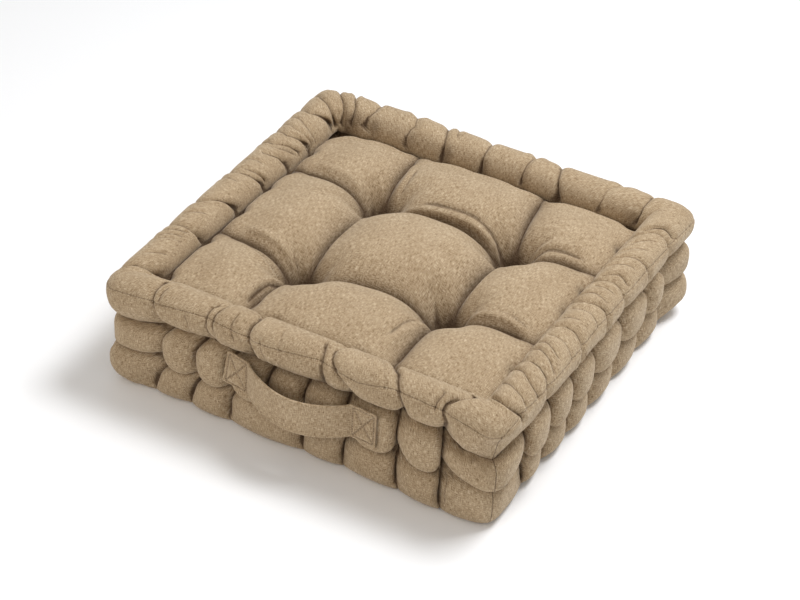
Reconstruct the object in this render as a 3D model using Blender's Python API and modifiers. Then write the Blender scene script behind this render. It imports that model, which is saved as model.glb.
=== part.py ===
"""A square tufted floor cushion with a rolled, pinched top edge, two rows of side puffs below it and a
carrying strap sewn to its front. Metres, +Z up, front towards -Y, origin at the middle of the flat underside.
"""

import math

import bmesh
import bpy

# The cushion as a whole
SIDE = 0.400
HALF = SIDE / 2
CORNER_R = 0.015
COLUMNS = 36

# The filled cushion is not quite square: how far each corner is out of place
CORNERS = (
    # name, its side in X and in Y, its shift in X and in Y, how far the middle and low puffs draw in there
    ("front_left", -1, -1, 0.000, 0.000, 0.0070, 0.0020),
    ("front_right", 1, -1, 0.000, 0.000, 0.0030, 0.0040),
    ("back_right", 1, 1, 0.003, 0.001, -0.0020, -0.0070),
    ("back_left", -1, 1, -0.009, -0.003, 0.0020, 0.0020),
)
CORNER_REACH = 0.060

# The top panel inside the rolled edge; the mesh's lines run evenly over it past EVEN_FROM of its width
EVEN_FROM = 0.15
PANEL_INSET = 0.0385
PANEL_EDGE_Z = 0.0940
PANEL_CROWN = 0.0270
CROWN_POWER = 4.0
TUFT_DEPTH = 0.0220
TUFT_REACH = 0.0450
TUFT_PULL = 0.0250
EDGE_BLEND = 0.0120
TUFTS = {
    "back_left": (-0.064, 0.064),
    "front_left": (-0.062, -0.069),
    "front_right": (0.070, -0.066),
    "back_right": (0.073, 0.056),
}

# Each channel runs from a tuft to another tuft or to the rolled edge
CHANNEL_REACH = 0.0600
DOME_POWER = 2.5
CHANNELS = (
    # start, end (a tuft's name or a point on the rolled edge), depth
    ("back_left", "back_right", 0.0300),
    ("back_left", "front_left", 0.0260),
    ("front_left", "front_right", 0.0280),
    ("front_right", "back_right", 0.0260),
    ("back_left", (-0.070, 0.163), 0.0220),
    ("back_right", (0.062, 0.163), 0.0220),
    ("front_left", (-0.074, -0.163), 0.0210),
    ("front_right", (0.072, -0.163), 0.0220),
    ("back_left", (-0.163, 0.072), 0.0220),
    ("front_left", (-0.163, -0.060), 0.0220),
    ("back_right", (0.163, 0.066), 0.0210),
    ("front_right", (0.163, -0.058), 0.0220),
)

# Rings of the side from the panel's edge down to the flat underside, at the middle of a puff
RINGS = (
    # tier, inset from the outer face, height
    ("roll", 0.0345, 0.1065),
    ("roll", 0.0285, 0.1150),
    ("roll", 0.0200, 0.1200),
    ("roll", 0.0105, 0.1185),
    ("roll", 0.0035, 0.1125),
    ("roll", 0.0005, 0.1030),
    ("roll", 0.0020, 0.0930),
    ("roll", 0.0075, 0.0850),
    ("stitch", 0.0140, 0.0805),
    ("middle", 0.0075, 0.0760),
    ("middle", 0.0030, 0.0690),
    ("middle", 0.0015, 0.0600),
    ("middle", 0.0030, 0.0510),
    ("middle", 0.0075, 0.0440),
    ("stitch", 0.0140, 0.0400),
    ("low", 0.0070, 0.0355),
    ("low", 0.0030, 0.0280),
    ("low", 0.0020, 0.0180),
    ("low", 0.0045, 0.0080),
    ("low", 0.0100, 0.0020),
    ("sole", 0.0180, 0.0000),
)
ROLL_AXIS_INSET = 0.0195
ROLL_AXIS_Z = 0.1010
ROLL_PINCH = 0.26
VALLEY_INSET = 0.0150
PINCH_REACH = 0.0060
PUFF_POWER = 2.6
SOLE_PINCH = 0.0050
LOW_TOP = 0.0400
LEAN_ENDS = (0.150, 0.180)

# Pinches along each side, seen from outside and counted from its middle to the right. low_lean is how far the
# valley between two low puffs has moved along the side by the time it reaches the floor
PINCHES = {
    "front": {
        "roll": (-0.143, -0.104, -0.086, -0.061, -0.042, 0.030, 0.040, 0.099, 0.143),
        "side": (-0.137, -0.101, -0.065, -0.024, 0.013, 0.054, 0.105, 0.146),
        "low_lean": (-0.014, -0.012, -0.008, -0.006, -0.008, -0.009, -0.006, -0.005),
    },
    "right": {
        "roll": (-0.162, -0.121, -0.093, -0.041, 0.006, 0.046, 0.095, 0.137),
        "side": (-0.145, -0.098, -0.054, -0.009, 0.050, 0.107, 0.143),
        "low_lean": (0.012, 0.002, 0.004, 0.006, -0.004, -0.008, 0.010),
    },
    "back": {
        "roll": (-0.148, -0.104, -0.062, -0.020, 0.022, 0.065, 0.105, 0.150),
        "side": (-0.142, -0.103, -0.064, -0.021, 0.024, 0.066, 0.108, 0.147),
        "low_lean": (-0.008, 0.004, -0.006, 0.003, 0.008, -0.004, 0.006, 0.010),
    },
    "left": {
        "roll": (-0.134, -0.089, -0.050, -0.002, 0.052, 0.102, 0.150),
        "side": (-0.141, -0.095, -0.048, 0.001, 0.049, 0.098, 0.146),
        "low_lean": (-0.010, 0.006, -0.004, 0.005, -0.006, 0.004, 0.008),
    },
}
OUTWARD = {"front": (0, -1), "right": (1, 0), "back": (0, 1), "left": (-1, 0)}

# The strap: its sewn ends lie flat on the front, and its middle bows out to take the fingers
STRAP_THICK = 0.0022
STRAP_BOTTOM = 0.0456
STRAP_TOP = 0.0799
STRAP_LEFT = (-0.0675, -0.0440)
STRAP_RIGHT = (0.0572, 0.0820)
STRAP_LIFT = (0.0075, 0.0029, 0.0021, 0.0002)
STRAP_FACE = 0.0030
STRAP_BOW = 0.0187
STRAP_SAG = -0.0040
BOW_POWER = 0.8
STRAP_GAP = 0.0005
SEAT_MARGIN = 0.0100
PATCH_STEPS = 3
BOW_STEPS = 24
WIDTH_STEPS = 3


def clamp(value, low, high):
    return max(low, min(high, value))


def smooth(value):
    value = clamp(value, 0.0, 1.0)
    return value * value * (3.0 - 2.0 * value)


def clear_scene():
    for obj in list(bpy.data.objects):
        bpy.data.objects.remove(obj, do_unlink=True)


def cloth_material(name, color, roughness):
    material = bpy.data.materials.new(name)
    material.use_nodes = True
    shader = material.node_tree.nodes["Principled BSDF"]
    shader.inputs["Base Color"].default_value = (*color, 1.0)
    shader.inputs["Roughness"].default_value = roughness
    shader.inputs["Metallic"].default_value = 0.0
    return material


def to_object(bm, name, material, collection):
    mesh = bpy.data.meshes.new(name)
    bm.to_mesh(mesh)
    bm.free()
    mesh.shade_smooth()
    obj = bpy.data.objects.new(name, mesh)
    obj.data.materials.append(material)
    collection.objects.link(obj)
    return obj


def columns_of(side):
    """Places along a side for the mesh's columns, spread so that every side valley has a column of its own."""
    stops = [-HALF, *PINCHES[side]["side"], HALF]
    parts = [COLUMNS * (b - a) / SIDE for a, b in zip(stops, stops[1:])]
    counts = [max(3, int(part)) for part in parts]
    while sum(counts) != COLUMNS:
        step = 1 if sum(counts) < COLUMNS else -1
        worst = max(range(len(counts)), key=lambda i: step * (parts[i] - counts[i]))
        counts[worst] += step
    places = []
    for start, end, count in zip(stops, stops[1:], counts):
        places += [start + (end - start) * i / count for i in range(count)]
    return places + [HALF]


def rim_point(side, along, inset):
    """A point of the rounded square that lies inset inside the outer face, in plan."""
    half = HALF - inset
    outward = OUTWARD[side]
    forward = (-outward[1], outward[0])
    straight = HALF - CORNER_R
    part = along / HALF
    bend = straight / HALF
    radius = max(CORNER_R - inset, 0.0)
    reach = half - radius
    if abs(part) <= bend:
        x, out = reach * part / bend, half
    else:
        angle = math.radians(45.0) * (abs(part) - bend) / (1.0 - bend)
        x = math.copysign(reach + radius * math.sin(angle), part)
        out = reach + radius * math.cos(angle)
    square = smooth(inset / PANEL_INSET)
    x += (half * part - x) * square
    out += (half - out) * square
    return (x * forward[0] + out * outward[0], x * forward[1] + out * outward[1])


def corner_shift(x, y):
    """How far the filling pushes a point of the square out of place, shared between the four corners."""
    moves = [0.0, 0.0]
    for _, side_x, side_y, shift_x, shift_y, _, _ in CORNERS:
        share = (1.0 + side_x * x / HALF) * (1.0 + side_y * y / HALF) / 4.0
        moves[0] += share * shift_x
        moves[1] += share * shift_y
    return moves


def corner_draw(x, y, tier):
    """How far a puff near a corner lies inside a true corner."""
    drawn = 0.0
    for _, side_x, side_y, _, _, middle, low in CORNERS:
        away = math.hypot(x - side_x * HALF, y - side_y * HALF)
        drawn += (middle if tier == "middle" else low) * smooth(1.0 - away / CORNER_REACH)
    return drawn


def pinch_at(places, along):
    """1 at a pinch, falling away sharply to both sides."""
    return max(math.exp(-abs(along - place) / PINCH_REACH) for place in places)


def valley_at(places, along):
    """1 in a valley between two puffs and 0 at the middle of a puff, round as a filled puff is."""
    stops = [-2 * HALF - places[0], *places, 2 * HALF - places[-1]]
    after = next(i for i, stop in enumerate(stops) if stop >= along - 1e-6)
    start, end = stops[max(after - 1, 0)], stops[max(after, 1)]
    share = clamp(2.0 * (along - start) / (end - start) - 1.0, -1.0, 1.0)
    return 1.0 - math.sqrt(1.0 - abs(share) ** PUFF_POWER)


def strap_seat(side, along, height):
    """How far in the front must lie so that the strap's sewn ends rest on it without touching."""
    if side != "front":
        return 0.0
    over = max(STRAP_LEFT[0] - along, min(along - STRAP_LEFT[1], STRAP_RIGHT[0] - along), along - STRAP_RIGHT[1])
    above = max(STRAP_BOTTOM - height, height - STRAP_TOP - STRAP_LIFT[0])
    return STRAP_FACE + STRAP_GAP if max(over, above) < SEAT_MARGIN else 0.0


def ring_vertex(side, along, tier, inset, height):
    table = PINCHES[side]
    if tier == "roll":
        pinch = ROLL_PINCH * pinch_at(table["roll"], along)
        inset += (ROLL_AXIS_INSET - inset) * pinch
        height += (ROLL_AXIS_Z - height) * pinch
    elif tier in ("middle", "low"):
        inset += (VALLEY_INSET - inset) * valley_at(table["side"], along)
    elif tier == "sole":
        inset += SOLE_PINCH * valley_at(table["side"], along)
    if tier in ("low", "sole"):
        lower = 1.0 - height / LOW_TOP
        nearest = min(range(len(table["side"])), key=lambda i: abs(along - table["side"][i]))
        room = 1.0 - smooth((abs(along) - LEAN_ENDS[0]) / (LEAN_ENDS[1] - LEAN_ENDS[0]))
        along += table["low_lean"][nearest] * lower * room
    if tier != "roll":
        inset = max(inset, strap_seat(side, along, height))
    if tier in ("middle", "low", "sole"):
        inset += corner_draw(*rim_point(side, along, inset), tier)
    x, y = rim_point(side, along, inset)
    shift = corner_shift(x, y)
    return x + shift[0], y + shift[1], height


def channel_ends(channel):
    return [TUFTS[end] if isinstance(end, str) else end for end in channel[:2]]


def distance_to(point, start, end):
    run = (end[0] - start[0], end[1] - start[1])
    share = ((point[0] - start[0]) * run[0] + (point[1] - start[1]) * run[1]) / (run[0] ** 2 + run[1] ** 2)
    share = clamp(share, 0.0, 1.0)
    return math.hypot(point[0] - start[0] - run[0] * share, point[1] - start[1] - run[1] * share)


def dome_fall(share):
    """1 in a channel, 0 past its reach: the flank of a round puff."""
    return max(1.0 - share, 0.0) ** DOME_POWER


def panel_height(x, y):
    """The top panel: a crown that is deepest at the four tufts and sinks along the channels between them."""
    half = HALF - PANEL_INSET
    rise = (1.0 - min(abs(x) / half, 1.0) ** CROWN_POWER) * (1.0 - min(abs(y) / half, 1.0) ** CROWN_POWER)
    height = PANEL_EDGE_Z + PANEL_CROWN * rise
    sunk = 0.0
    for channel in CHANNELS:
        away = distance_to((x, y), *channel_ends(channel))
        sunk = max(sunk, channel[2] * dome_fall(away / CHANNEL_REACH))
    edge = smooth(min(half - abs(x), half - abs(y)) / EDGE_BLEND)
    height -= sunk * edge
    for tuft in TUFTS.values():
        away = math.hypot(x - tuft[0], y - tuft[1])
        height -= TUFT_DEPTH * dome_fall(away / TUFT_REACH)
    return height


def lay_panel(grid):
    """Bends the flat grid to the four rows of columns, pulls its nearest crossings to the tufts and raises it."""
    sides = {side: columns_of(side) for side in OUTWARD}
    inner = 1.0 - PANEL_INSET / HALF
    for (i, j), vert in grid.items():
        u, v = i / COLUMNS, j / COLUMNS
        front, back = sides["front"][i], -sides["back"][COLUMNS - i]
        right, left = sides["right"][j], -sides["left"][COLUMNS - j]
        x = (front * (1.0 - v) + back * v) * inner
        y = (left * (1.0 - u) + right * u) * inner
        even_x, even_y = (2.0 * u - 1.0) * HALF * inner, (2.0 * v - 1.0) * HALF * inner
        deep = smooth(min(u, v, 1.0 - u, 1.0 - v) / EVEN_FROM)
        vert.co = (x + (even_x - x) * deep, y + (even_y - y) * deep, 0.0)
    for tuft in TUFTS.values():
        nearest = min(grid.values(), key=lambda vert: math.hypot(vert.co.x - tuft[0], vert.co.y - tuft[1]))
        pull = (tuft[0] - nearest.co.x, tuft[1] - nearest.co.y)
        centre = nearest.co.copy()
        for vert in grid.values():
            share = math.exp(-(((vert.co - centre).length / TUFT_PULL) ** 2))
            vert.co.x += pull[0] * share
            vert.co.y += pull[1] * share
    for vert in grid.values():
        shift = corner_shift(vert.co.x, vert.co.y)
        vert.co.z = panel_height(vert.co.x, vert.co.y)
        vert.co.x += shift[0]
        vert.co.y += shift[1]


def build_cushion(material, collection):
    """A grid for the top panel, its border drawn down ring by ring, and one flat face below."""
    bm = bmesh.new()
    bmesh.ops.create_grid(bm, x_segments=COLUMNS, y_segments=COLUMNS, size=1.0)
    grid = {(round((v.co.x + 1) * COLUMNS / 2), round((v.co.y + 1) * COLUMNS / 2)): v for v in bm.verts}
    places = {}
    for step in range(COLUMNS):
        border = (grid[step, 0], grid[COLUMNS, step], grid[COLUMNS - step, COLUMNS], grid[0, COLUMNS - step])
        for side, vert in zip(OUTWARD, border):
            places[vert] = (side, columns_of(side)[step])
    lay_panel(grid)
    edges = [edge for edge in bm.edges if edge.is_boundary]
    for tier, inset, height in RINGS:
        made = bmesh.ops.extrude_edge_only(bm, edges=edges)["geom"]
        edges = [item for item in made if isinstance(item, bmesh.types.BMEdge) and item.is_boundary]
        moved = {}
        for vert in (item for item in made if isinstance(item, bmesh.types.BMVert)):
            above = [edge.other_vert(vert) for edge in vert.link_edges]
            moved[vert] = next(places[old] for old in above if old in places)
        for vert, (side, along) in moved.items():
            vert.co = ring_vertex(side, along, tier, inset, height)
        places = moved
    bmesh.ops.contextual_create(bm, geom=edges)
    bmesh.ops.recalc_face_normals(bm, faces=bm.faces)
    return to_object(bm, "cushion", material, collection)


def strap_line():
    """The strap's centre line in plan with its rise and sag: sewn end, bow, sewn end."""
    y = -(HALF - STRAP_FACE) - STRAP_THICK / 2
    points = []
    for step in range(PATCH_STEPS):
        share = step / PATCH_STEPS
        rise = STRAP_LIFT[0] + (STRAP_LIFT[1] - STRAP_LIFT[0]) * share
        points.append((STRAP_LEFT[0] + (STRAP_LEFT[1] - STRAP_LEFT[0]) * share, y, rise))
    for step in range(BOW_STEPS + 1):
        share = step / BOW_STEPS
        bow = math.sin(math.pi * share) ** BOW_POWER
        x = STRAP_LEFT[1] + (STRAP_RIGHT[0] - STRAP_LEFT[1]) * share
        rise = STRAP_LIFT[1] + (STRAP_LIFT[2] - STRAP_LIFT[1]) * share + STRAP_SAG * bow
        points.append((x, y - STRAP_BOW * bow, rise))
    for step in range(1, PATCH_STEPS + 1):
        share = step / PATCH_STEPS
        rise = STRAP_LIFT[2] + (STRAP_LIFT[3] - STRAP_LIFT[2]) * share
        points.append((STRAP_RIGHT[0] + (STRAP_RIGHT[1] - STRAP_RIGHT[0]) * share, y, rise))
    return points


def build_handle(material, collection):
    """The strap: a flat grid bent to its line and thickened evenly to both faces."""
    line = strap_line()
    bm = bmesh.new()
    bmesh.ops.create_grid(bm, x_segments=len(line) - 1, y_segments=WIDTH_STEPS, size=1.0)
    for vert in bm.verts:
        x, y, drop = line[round((vert.co.x + 1) * (len(line) - 1) / 2)]
        across = (vert.co.y + 1) / 2
        vert.co = (x, y, STRAP_BOTTOM + (STRAP_TOP - STRAP_BOTTOM) * across + drop)
    obj = to_object(bm, "handle", material, collection)
    solid = obj.modifiers.new("thickness", "SOLIDIFY")
    solid.thickness = STRAP_THICK
    solid.offset = 0.0
    solid.use_even_offset = True
    return obj


def main():
    clear_scene()
    collection = bpy.data.collections.new("tufted_floor_cushion")
    bpy.context.scene.collection.children.link(collection)
    build_cushion(cloth_material("cover", (0.400, 0.300, 0.190), 0.92), collection)
    build_handle(cloth_material("strap", (0.420, 0.315, 0.200), 0.90), collection)


main()
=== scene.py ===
import math

import bmesh
import bpy
import numpy as np
from mathutils import Matrix, Vector


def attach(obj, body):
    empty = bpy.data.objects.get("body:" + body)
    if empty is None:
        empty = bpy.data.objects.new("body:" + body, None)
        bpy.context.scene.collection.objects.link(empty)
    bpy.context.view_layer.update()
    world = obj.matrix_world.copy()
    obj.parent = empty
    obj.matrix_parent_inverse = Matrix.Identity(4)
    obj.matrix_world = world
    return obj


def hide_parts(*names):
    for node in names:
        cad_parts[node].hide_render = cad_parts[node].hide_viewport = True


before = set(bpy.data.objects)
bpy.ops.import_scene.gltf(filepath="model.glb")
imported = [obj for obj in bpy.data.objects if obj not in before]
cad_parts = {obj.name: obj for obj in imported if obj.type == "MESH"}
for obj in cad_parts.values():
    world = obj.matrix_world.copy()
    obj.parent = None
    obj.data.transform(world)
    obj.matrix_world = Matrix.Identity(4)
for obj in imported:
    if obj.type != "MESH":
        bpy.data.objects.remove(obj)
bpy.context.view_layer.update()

# ------------------------------------------------------------------------------------------------------------
# The filled cover: a square of heathered cotton cloth, top and underside joined by a side band, filled with
# loose fibre and stitched through. Four tufts pull the top down, a stitched line behind the top edge gathers
# it into a roll, and two lines of side stitches gather the band into two rows of puffs under the roll.
# ------------------------------------------------------------------------------------------------------------
# half the width, lines of the mesh along each side, and rows down the band with the height of cloth in them
HALF = 0.200
COLUMNS = 168
ROWS = {"roll": 42, "middle": 19, "low": 19, "sole": 3}
BAND_LONG = {"roll": 0.0938, "middle": 0.0540, "low": 0.0540, "sole": 0.0120}
# the upright corners: their radius, how much of it goes for each metre further in, and how far round they act
CORNER_R, CORNER_TIGHTER, CORNER_REACH = 0.0185, 0.44, 0.060
# the two lines of side stitches, each as inset and height, and where the underside begins
UPPER_STITCH, LOWER_STITCH, SOLE_INSET = (0.0150, 0.0805), (0.0140, 0.0400), 0.0180

# the top between the rolls: where it ends, and how high its border, its puffs and its tufts are
PANEL_INSET = 0.0385
PANEL_HALF = HALF - PANEL_INSET
PANEL_EDGE_Z, CROWN, TUFT_Z = 0.0915, 0.0300, 0.0420
PANEL_ROUND, FLANK_ROUND = (3.6, 0.55), (2.4, 0.58)
# how wide a channel draws the top down, how steeply it falls to a tuft, and how much of the tuft is held
CHANNEL_REACH, TUFT_FALL, TUFT_R = 0.0620, 0.0125, 0.0030
# folds of the roll that are deeper than this, in mm, and reach as far inside pull pits into the top's edge
PULLING_FOLD, PULLING_TURN, PIT_DEPTH, PIT_REACH, PLEAT_SCALE = 1.6, 36, 0.0011, 0.0075, 1.35
# the edge of the top beside the roll stands up as a low welt: its rise, its inner flank and its outer one
WELT, WELT_INNER, WELT_OUTER = 0.0016, (0, 0.004), (0.022, 0.008)
# the underside: how much smaller its first ring is, then each dimple's rise, radius and roundness
SOLE_SHRINK, DIMPLE = 0.02, (0.0080, 0.035, 2.2)

# the roll: its middle as inset and height, its radius, the degrees that it runs round, and its seam's row
ROLL_CENTRE, ROLL_RADIUS = (0.0195, 0.1000), 0.0192
ROLL_START, ROLL_TURN, SEAM_TURN, SEAM_ROW, CREST = -22.0, 280.0, 158.0, 27, 100.0
ROLL_END = ROLL_START + ROLL_TURN
ROLL_SPREAD = 0.6
# between which degrees its lines leave the top's, meet the puffs', enter the side stitches and lie in shade,
# and how many degrees in from its two edges its folds, its lift and its wrinkles are at full size
TOP_TURNS, PUFF_TURNS, FOOT_TURNS, CREVICE_TURNS = (-20, 25), (212, 256), (205, 255), (236, 260)
EDGE_TURNS, FOLD_TURNS, LIFT_TURNS, WRINKLE_TURNS = 16, 30, 60, 25
# folds deeper than DEEP_FOLD, in mm, are gathers of the whole roll, and the others are wrinkles
DEEP_FOLD, FOLD_SCALE, CREASE_SCALE, FINE_SCALE, FOLD_ENDS, FOLD_ROUND = 2.7, 1.20, 0.25, 1.70, 16, 1.2
# a deep fold's gentle flank as share, width in mm and roundness, its wider hollow on the outer face, and how
# deep it is, then how much deeper at the crest's inner side; a crease's raised lips, as shares of its size
LAP, HANG, HANG_TURNS, PINCH, PINCH_TURNS = (0.62, 8.5, 1.6), (0.35, 9), (160, 210), (0.85, 0.5), (15, 55)
LIP_RISE, LIP_AWAY = 0.30, 2.4
# the rows beside the seam, where one edge of the cloth lies over the other, and how far each moves outwards
SEAM_STEPS = ((-1, 0.00015), (0, -0.0005), (1, 0.0004))
# sewn lines: how near a point has to be to a fold, in metres, or to a valley, as a share of a puff
ON_FOLD, ON_VALLEY, FAR_OFF = 0.0008, 0.985, 0.05
# short creases: how long their ends are and where the last one stops, as shares, then how near they count
# and where they fade, in mm, and how deep a crease each mm of a groove in the top counts as
PLEAT_ENDS, CREASE_ENDS, CREASE_STOP, CREASE_NEAR, CREASE_FADE, PLEAT_MARK = 0.25, 0.2, 1.02, 7, (6, 3), -1.6
# from where to where a point is sunk, as metres below the cloth near by after so many rounds of levelling
# shade is painted into the cloth's colour by how sunk each point is
HOLLOW_RANGES, HOLLOW_EACH = {4: (0.0001, 0.0007), 40: (0.0006, 0.0034)}, 0.6
# between which places along its side the shade painted along a fold fades out by the corner
CORNER_FADE = (HALF - 0.006, HALF - 0.014)
# which way each segment of the roll laps over the next one, along its side
FOLD_FACES = {"front": 1, "right": -1, "back": -1, "left": 1}
# where the roll's outer face draws in beside the front right corner: how far along, and towards which end
NOSE_DRAW, NOSE_TURNS, NOSE = 0.0075, (160, 205), {"right": (0.060, 1), "front": (0.034, -1)}

# the side puffs: how deep their stitches and valleys lie, how far they hang, and how round they are
STITCH_DEPTH, STITCH_SWING, PIT_SHARE, PUFF_HANG = 0.0120, 0.0060, -0.10, 0.0045
VALLEY_ROUND, DOME_ROUND, STANDING_ROUND = (2.2, 0.5), (2.8, 3.0, 0.55), (0.93, 2.6, 0.52)
PIT_ROUND, DRAW_ROUND, VALLEY_NARROWER = 2.4, (2.2, 0.5), 0.32
PUFF_REACH, FOOT_DEEP = {"middle": 0.0005, "low": 0.0010}, {"middle": 1.0, "low": 0.10}
HANG_LEVELS = (-0.6, 0.6)
# from where down a low puff stands upright, and near the corners where no valley leans or bows
STANDING, LEAN_ENDS, BOW_END = (0.1, 0.9), (0.15, 0.18), HALF - 0.03
# how far down the low row its own valleys and inset take over, its belly is fullest and its foot begins
APART_BY, INSET_BY, BELLY_AT, FOOT_AT = 0.3, 0.4, 0.5, 0.6
# which way the valleys between them bow at the middle of their height
PUFF_BOW, PUFF_FACES = 0.0042, {"front": -1, "right": 1, "back": 1, "left": -1}

# how much closer the lines of the mesh lie beside a channel, a fold and a valley
CHANNEL_CLOSER, FOLD_CLOSER, VALLEY_CLOSER = 0.30, 0.45, 0.35
# how much shade is painted on tufts, channels, the roll's foot, its inner pits and its border, 0 to 1, and
# how far out
TUFT_SHADE, CHANNEL_SHADE, CREVICE_SHADE, PIT_SHADE, BORDER_SHADE = 0.90, 0.70, 0.45, 0.12, 0.22
TUFT_DARK, CHANNEL_DARK, PIT_DARK, BORDER_DARK, MOST_DARK = 0.0125, (0.0040, 0.0130), 0.0055, 0.0070, 1.1
ABOVE_PITS, ABOVE_TUFTS, NARROW_SHARE, CREVICE_FALL = 0.06, 0.03, 0.55, 6
# the filling: how much cloth there is to spare in each part, how hard it is blown up, and how far it may go
PANEL_SPARE, PUFF_SPARE, MOST_SPARE = 0.045, 0.085, 0.10
PRESSURE, FILL_STEPS, FILL_LIMIT = 0.5, 12, 0.0080

# each corner: side in X and Y, shift in X and Y, how far middle puffs, low puffs and their foot draw in
CORNERS = (
    (-1, -1, -0.0030, -0.0005, 0.0070, 0.0035, 0.0075),
    (1, -1, 0.000, 0.000, 0.0040, 0.0050, 0.0050),
    (1, 1, 0.003, 0.001, -0.0020, -0.0050, 0.0200),
    (-1, 1, -0.0105, -0.003, 0.0020, 0.0020, 0.0040),
)

# Along each side, counted from its middle to the right as seen from outside. In metres: where the top's
# channels end, the valleys between the puffs, and how far each valley has moved along by the floor. After a
# place in mm: low, how far in the low puffs lie; tuck, how much higher the two lines of side stitches run;
# lift, how much larger and how much higher the roll is; and seam, at how many degrees the roll's seam lies.
SIDES = {
    "front": {
        "outward": (0, -1),
        "low": ((-200, -2), (-165, -1), (-135, 3), (-108, 5), (-90, 3), (-58, 2), (-28, 1), (10, 2),
                (48, 3), (80, 2), (120, 0), (165, -3), (200, 0)),
        "tuck": ((-200, -13, 4), (-172, -11, 3), (-152, -6, 1), (-137, 0, 0), (140, 0, 0), (152, -5, 1),
                 (165, -12, 3), (200, -13, 4.5)),
        "channel": (-0.074, 0.072),
        "valley": (-0.137, -0.101, -0.066, -0.025, 0.012, 0.054, 0.105, 0.149),
        "low_valley": (-0.137, -0.101, -0.066, 0.012, 0.054, 0.105, 0.149),
        "lean": (-0.016, -0.014, -0.003, -0.003, -0.003, -0.004, 0.002, -0.001),
        "lift": ((-200, -1.0, -4.5), (-150, 0, -1), (150, 0, 0), (200, 0, -1)),
        "seam": ((-200, 158), (-187, 158), (-165, 156), (-138, 156), (-112, 148), (-90, 142), (-60, 150),
                 (-34, 158), (-13, 154), (6, 147), (25, 140), (45, 152), (64, 159), (78, 152), (95, 142),
                 (120, 144), (144, 150), (167, 161), (187, 174), (200, 168)),
        "spare": 0.035,
    },
    "right": {
        "outward": (1, 0),
        "low": ((-200, 0), (-150, 4), (-106, 6), (-60, 3), (60, 3), (120, 3), (160, 0), (200, 0)),
        "tuck": ((-200, -13, 4.5), (-170, -10, 3), (-155, -7, 1.5), (-140, -5, 0), (-110, -1, 0),
                 (-90, 0, 0), (120, 0, 0), (160, 0, 5), (200, 0, 13)),
        "channel": (-0.058, 0.066),
        "valley": (-0.145, -0.098, -0.054, -0.009, 0.050, 0.107, 0.143),
        "lean": (0.012, 0.002, 0.004, 0.006, -0.004, -0.008, 0.010),
        "lift": ((-200, 0, -1), (-150, 0, 0), (150, 0.5, 0), (200, 1.0, 0)),
        "seam": ((-200, 168), (-191, 152), (-169, 146), (-136, 154), (-99, 157), (-60, 153), (-19, 150),
                 (32, 153), (80, 150), (130, 155), (200, 165)),
        "spare": 0.060,
    },
    "back": {
        "outward": (0, 1),
        "low": ((-200, 0), (200, 1)),
        "tuck": ((-200, 0, 13), (-150, 0, 3), (-120, 0, 0), (150, 0, 0), (200, 0, 3)),
        "channel": (-0.062, 0.070),
        "valley": (-0.142, -0.103, -0.064, -0.021, 0.024, 0.066, 0.108, 0.147),
        "lean": (-0.008, 0.004, -0.006, 0.003, 0.008, -0.004, 0.006, 0.010),
        "lift": ((-200, 0.6, 0), (-100, 0.8, 0), (0, 1.3, 0.5), (100, 2.6, 0.8), (160, 3.0, 0.5),
                 (200, 2.4, 0)),
        "seam": ((-200, 176), (-150, 160), (-100, 150), (-60, 158), (-20, 146), (30, 154), (80, 148),
                 (130, 158), (200, 172)),
        "spare": 0.035,
    },
    "left": {
        "outward": (-1, 0),
        "low": ((-200, 1), (150, 1), (200, 0)),
        "tuck": ((-200, 0, 3), (-150, 0, 0), (130, 0, 0), (155, -5, 0), (175, -10, 2), (200, -13, 4)),
        "channel": (-0.072, 0.060),
        "valley": (-0.141, -0.095, -0.048, 0.001, 0.049, 0.098, 0.146),
        "lean": (-0.010, 0.006, -0.004, 0.005, -0.006, 0.004, 0.008),
        "lift": ((-200, 2.4, 0.5), (-120, 1, 0.5), (-50, 0, 0), (60, -0.6, 0), (120, -1.8, 0),
                 (165, -1.8, -1), (200, -1.0, -4.5)),
        "seam": ((-200, 172), (-150, 158), (-100, 164), (-50, 154), (0, 162), (50, 156), (100, 160),
                 (150, 156), (200, 158)),
        "spare": 0.040,
    },
}

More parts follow.
